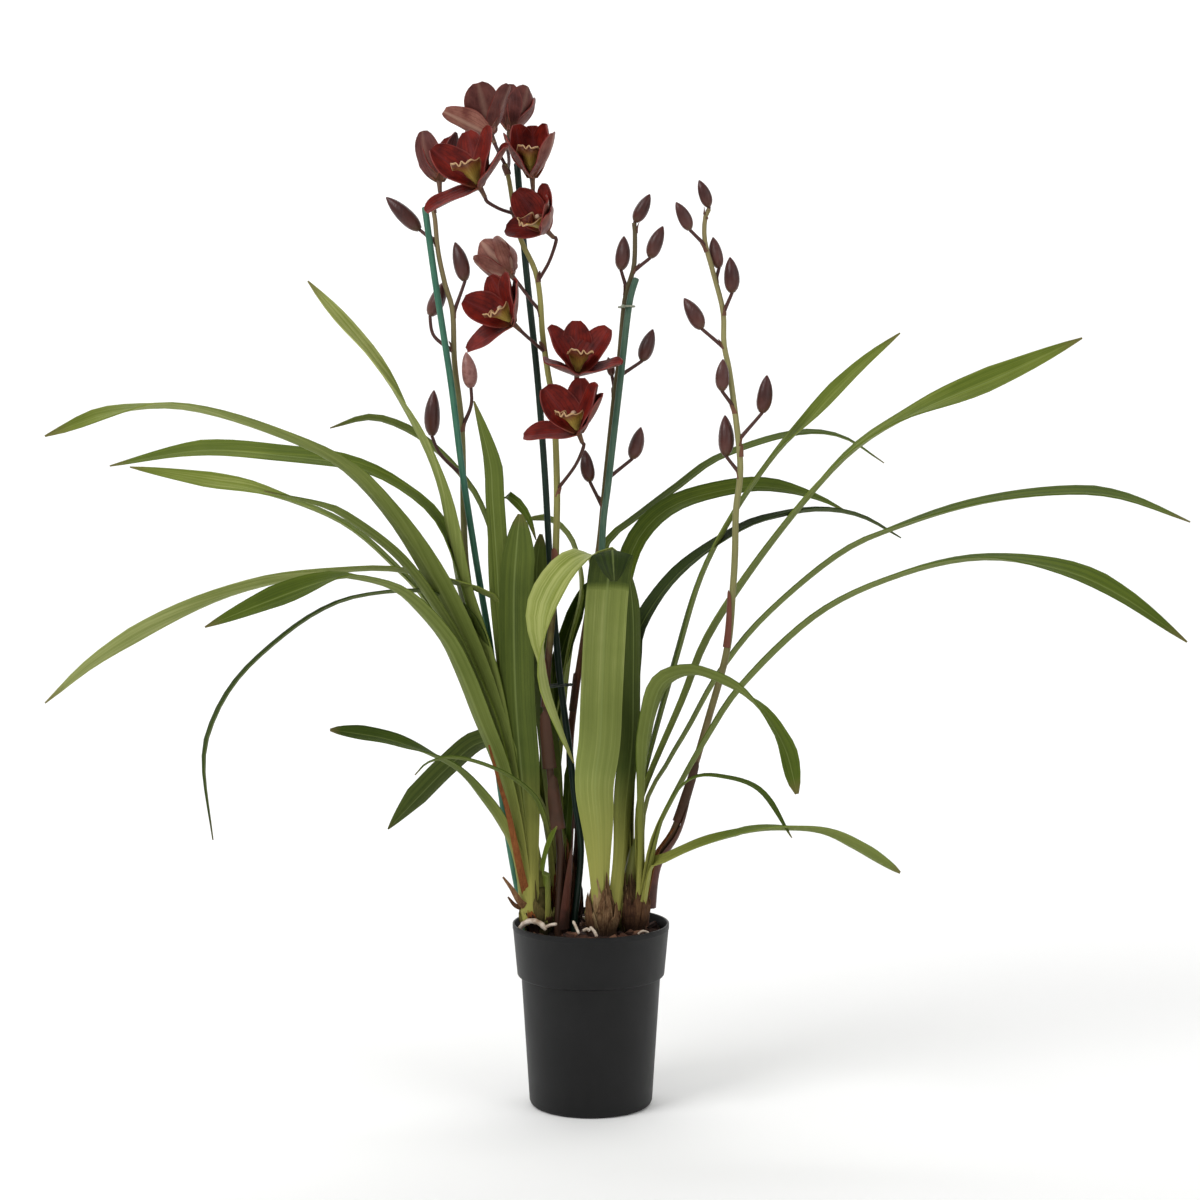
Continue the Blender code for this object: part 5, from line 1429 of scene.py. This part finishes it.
def petalMaterial(name, back=False):
    made, place = startMaterial(name, 0.5, specular=0.18)
    _, across, length = uvParts(made)
    cloudy = noiseAt(made, place, 120.0, 4.0)
    veins = veinLines(made, across, 9.0)
    if back:
        dark = attributeOf(made, "dark")
        colour = blendColours(made, dark, ramp(made, cloudy, petalColours["back"]),
                              ramp(made, cloudy, petalColours["darkBack"]))
        colour = blendColours(made, times(made, veins, 0.45), colour, petalColours["backVeins"])
    else:
        colour = ramp(made, cloudy, petalColours["front"])
        colour = blendColours(made, times(made, veins, 0.55), colour, petalColours["frontVeins"])
    middle = fromMiddle(made, across)
    rib = faded(made, middle, 0.0, 0.13 if back else 0.07, 0.6, 0.0)
    if back:
        rib = times(made, rib, calc(made, "SUBTRACT", 1.1, dark))
    colour = blendColours(made, rib, colour, petalColours["backStreak" if back else "frontStreak"])
    edge = faded(made, middle, 0.46, 0.5, 0.0, 0.5)
    colour = blendColours(made, edge, colour, petalColours["edge"])
    claw = faded(made, length, 0.0, 0.22, 0.45, 0.0)
    colour = blendColours(made, claw, colour, petalColours["claw"])
    height = scaledSum(made, veins, -0.6, cloudy)
    return finishMaterial(made, colour, height, 0.25 * mm)


def tepalBreadth(t):
    return max(0.10, sin(pi * (0.04 + 0.93 * t**1.15)) ** 0.52)


def tepal(frame, centre, angle, opening, size, width, front, back, wave):
    rows = bloomForm["rows"]
    made = unitGrid(bloomForm["columns"], rows)
    start, end = opening
    turn = radians(angle)
    out = frame @ Vector((sin(turn), cos(turn), 0.0))
    side = frame @ Vector((cos(turn), -sin(turn), 0.0))
    axis = frame @ Vector((0.0, 0.0, 1.0))
    place = centre.copy()
    stations = []
    for i in range(rows + 1):
        lean = radians(start + (end - start) * i / rows)
        stations.append((place.copy(), axis * sin(lean) - out * cos(lean)))
        lean = radians(start + (end - start) * (i + 0.5) / rows)
        heading = out * sin(lean) + axis * cos(lean)
        place += heading * (bloomForm["reach"] * size / rows)
    for vertex, t, s in gridPlaces(made):
        middle, facing = stations[round(t * rows)]
        half = width * size * tepalBreadth(t) / 2
        lift = half * bloomForm["cup"] * abs(s) ** 1.7
        ruffle = bloomForm["ruffle"] * size * abs(s) ** 2 * sin(9 * t + 2.5 * s + wave)
        vertex.co = middle + side * (half * s) + facing * (lift + ruffle)
    return walled(skinned(made, front, back), bloomForm["thickness"], 60, 0.0, 1)


# the skins of the column, its cap and the ovary: name, dark and light colour, and the grain's scale
flowerCoats = (("columnSkin", (0.17, 0.045, 0.035), (0.33, 0.13, 0.08), 200.0),
               ("antherCap", (0.42, 0.26, 0.17), (0.60, 0.45, 0.32), 500.0),
               ("ovarySkin", (0.085, 0.035, 0.025), (0.14, 0.075, 0.035), 200.0))
# how dark the back of each tepal is, from salmon at 0 to deep red at 1
darkBacks = {"bloom_1": (0.6, 0.5, 0.6, 0.7, 0.6), "bloom_3": (0.80, 0.80, 0.75, 0.05, 0.5),
             "bloom_4": (0.9, 0.55, 0.85, 0.45, 0.8), "bloom_6": (0.15, 0.3, 0.1, 0.45, 0.35),
             "bloom_10": (0.95, 0.9, 0.95, 1.0, 0.9)}


def makeBlooms():
    front, back = petalMaterial("petalFront"), petalMaterial("petalBack", True)
    columnSkin, capSkin, ovarySkin = (plainSkin(*coat) for coat in flowerCoats)
    for number, (name, (seat, facing, shape, size, turn, _, _)) in enumerate(blooms.items()):
        seat = sighted(*seat)
        frameOf = bloomFrame(facing, turn)
        axis, up = frameOf @ Vector((0, 0, 1)), frameOf @ Vector((0, 1, 0))
        centre = seat + axis * bloomForm["ovary"]
        pieces = [taperedRod("ovary", [seat, seat + axis * 5 * mm, centre + axis * 2.2 * mm], 12,
                             lambda t: bloomForm["ovaryRadius"] * (0.8 + 0.35 * t**1.5), 12, ovarySkin)]
        for i, (angle, *opening) in enumerate(opened[shape]):
            isPetal = i in (1, 2)
            root = centre + axis * (bloomForm["rise"] if isPetal else 0.0)
            width = bloomForm["petal" if isPetal else "sepal"]
            blade = tepal(frameOf, root, angle, opening, size, width, front, back, i + 1.7 * number)
            paintNumber(blade, "dark", darkBacks.get(name, [bloomForm["dark"]] * 5)[i])
            pieces.append(blade)
        reach = bloomForm["column"]
        arch = [centre + up * 0.10 * reach, centre + axis * 0.57 * reach + up * 0.26 * reach,
                centre + axis * reach * size + up * 0.14 * reach]
        pieces.append(taperedRod("column", arch, 12,
                                 lambda t: mm * (1.7 + 0.6 * sin(0.8 * pi * t)), 12, columnSkin))
        pick(None)
        bpy.ops.mesh.primitive_uv_sphere_add(segments=16, ring_count=10, radius=bloomForm["cap"])
        cap = bpy.context.object
        cap.data.transform(Matrix.Translation(arch[-1] - axis * 0.3 * mm) @ frameOf.to_4x4()
                           @ Matrix.Diagonal(bloomForm["capShape"]))
        pieces.append(smoothed(skinned(cap, capSkin), 60))
        gathered(pieces, "bloom", name)


makeBlooms()


# lips: forward, drop of the floor, half width and rise of the sides along each, in millimetres
lipForm = {"stations": ((0.0, 1.7, 1.4, 0.6), (9.0, 4.6, 8.2, 9.6), (16.5, 6.0, 9.8, 9.2),
                        (21.5, 12.0, 7.6, 2.6)),
           "forward": 4.6 * mm, "columns": 26, "rows": 30, "closed": 0.8, "frill": 1.5, "curveSteps": 60,
           "ridgeAside": 0.2, "ridgeLift": 0.7, "ridge": 0.75, "ridgeSteps": 12}


lipColours = {
    "inside": [(0.40, (0.085, 0.010, 0.010)), (0.62, (0.24, 0.060, 0.022))],
    "outside": [(0.05, (0.44, 0.34, 0.075)), (0.5, (0.38, 0.25, 0.045)), (0.78, (0.22, 0.085, 0.024)),
                (0.95, (0.105, 0.018, 0.012))],
    "veins": (0.15, 0.045, 0.018), "rim": (0.50, 0.31, 0.15),
    "crest": ((0.55, 0.33, 0.045), (0.78, 0.56, 0.13)),
}


def lipMaterial(name, outside=False):
    made, place = startMaterial(name, 0.42, specular=0.45)
    _, across, length = uvParts(made)
    spots = noiseAt(made, place, 420.0, 3.0, 0.6)
    if outside:
        colour = blendColours(made, times(made, veinLines(made, across, 12.0), 0.6),
                              ramp(made, length, lipColours["outside"]), lipColours["veins"])
    else:
        colour = ramp(made, spots, lipColours["inside"])
    middle = fromMiddle(made, across)
    edge = faded(made, middle, 0.455, 0.475)
    front = faded(made, length, 0.955, 0.975)
    rim = calc(made, "MAXIMUM", edge, front)
    colour = blendColours(made, rim, colour, lipColours["rim"])
    return finishMaterial(made, colour, spots, 0.2 * mm)


def makeLips():
    inside, outside = lipMaterial("lipInside"), lipMaterial("lipOutside", True)
    crest = plainSkin("lipCrest", *lipColours["crest"], 600.0)
    names = ("forward", "drop", "half", "rise")
    curves = {}
    for i, part in enumerate(names):
        points = [Vector((k, station[i], 0)) for k, station in enumerate(lipForm["stations"])]
        curves[part] = [p.y for p in flow(points, lipForm["curveSteps"])]
    for name, (seat, facing, shape, size, turn, _, _) in blooms.items():
        frameOf = bloomFrame(facing, turn)
        right, up, axis = (frameOf @ Vector(v) for v in ((1, 0, 0), (0, 1, 0), (0, 0, 1)))
        centre = sighted(*seat) + axis * (bloomForm["ovary"] + lipForm["forward"])
        forwardShare = lipForm["closed"] if shape == "closed" else 1.0
        trough = unitGrid(lipForm["columns"], lipForm["rows"])

        def floorAt(t, s):
            forward, drop, half, rise = (along(curves[part], t) for part in names)
            floor = centre + (axis * (forward * forwardShare) - up * drop) * (mm * size)
            rim = max(abs(s) ** 4 * min(1.0, 2.2 * t), max(0.0, t - 0.8) * 5)
            frill = lipForm["frill"] * rim * sin(13 * t + 5 * s + 2.4 * sin(3 * s))
            lift = rise * abs(s) ** 1.8 + frill
            return floor + (right * (half * s) + up * lift + axis * (0.6 * frill)) * (mm * size)

        for vertex, t, s in gridPlaces(trough):
            vertex.co = floorAt(t, s)
        pieces = [walled(skinned(trough, outside, inside), bloomForm["thickness"] * 0.8, 60, 0.0, 1)]
        steps = lipForm["ridgeSteps"]
        for s in (-lipForm["ridgeAside"], lipForm["ridgeAside"]):
            ridge = [floorAt(0.15 + 0.55 * k / steps, s) + up * lipForm["ridgeLift"] * mm * size
                     for k in range(steps + 1)]
            thick = [lipForm["ridge"] * mm * size * (0.5 + 0.5 * sin(pi * (k + 1) / (steps + 2)))
                     for k in range(steps + 1)]
            pieces.append(rodAlong("ridge", ridge, thick, 8, crest))
        gathered(pieces, "lip", name.replace("bloom", "lip"))


makeLips()

print("all pieces made")
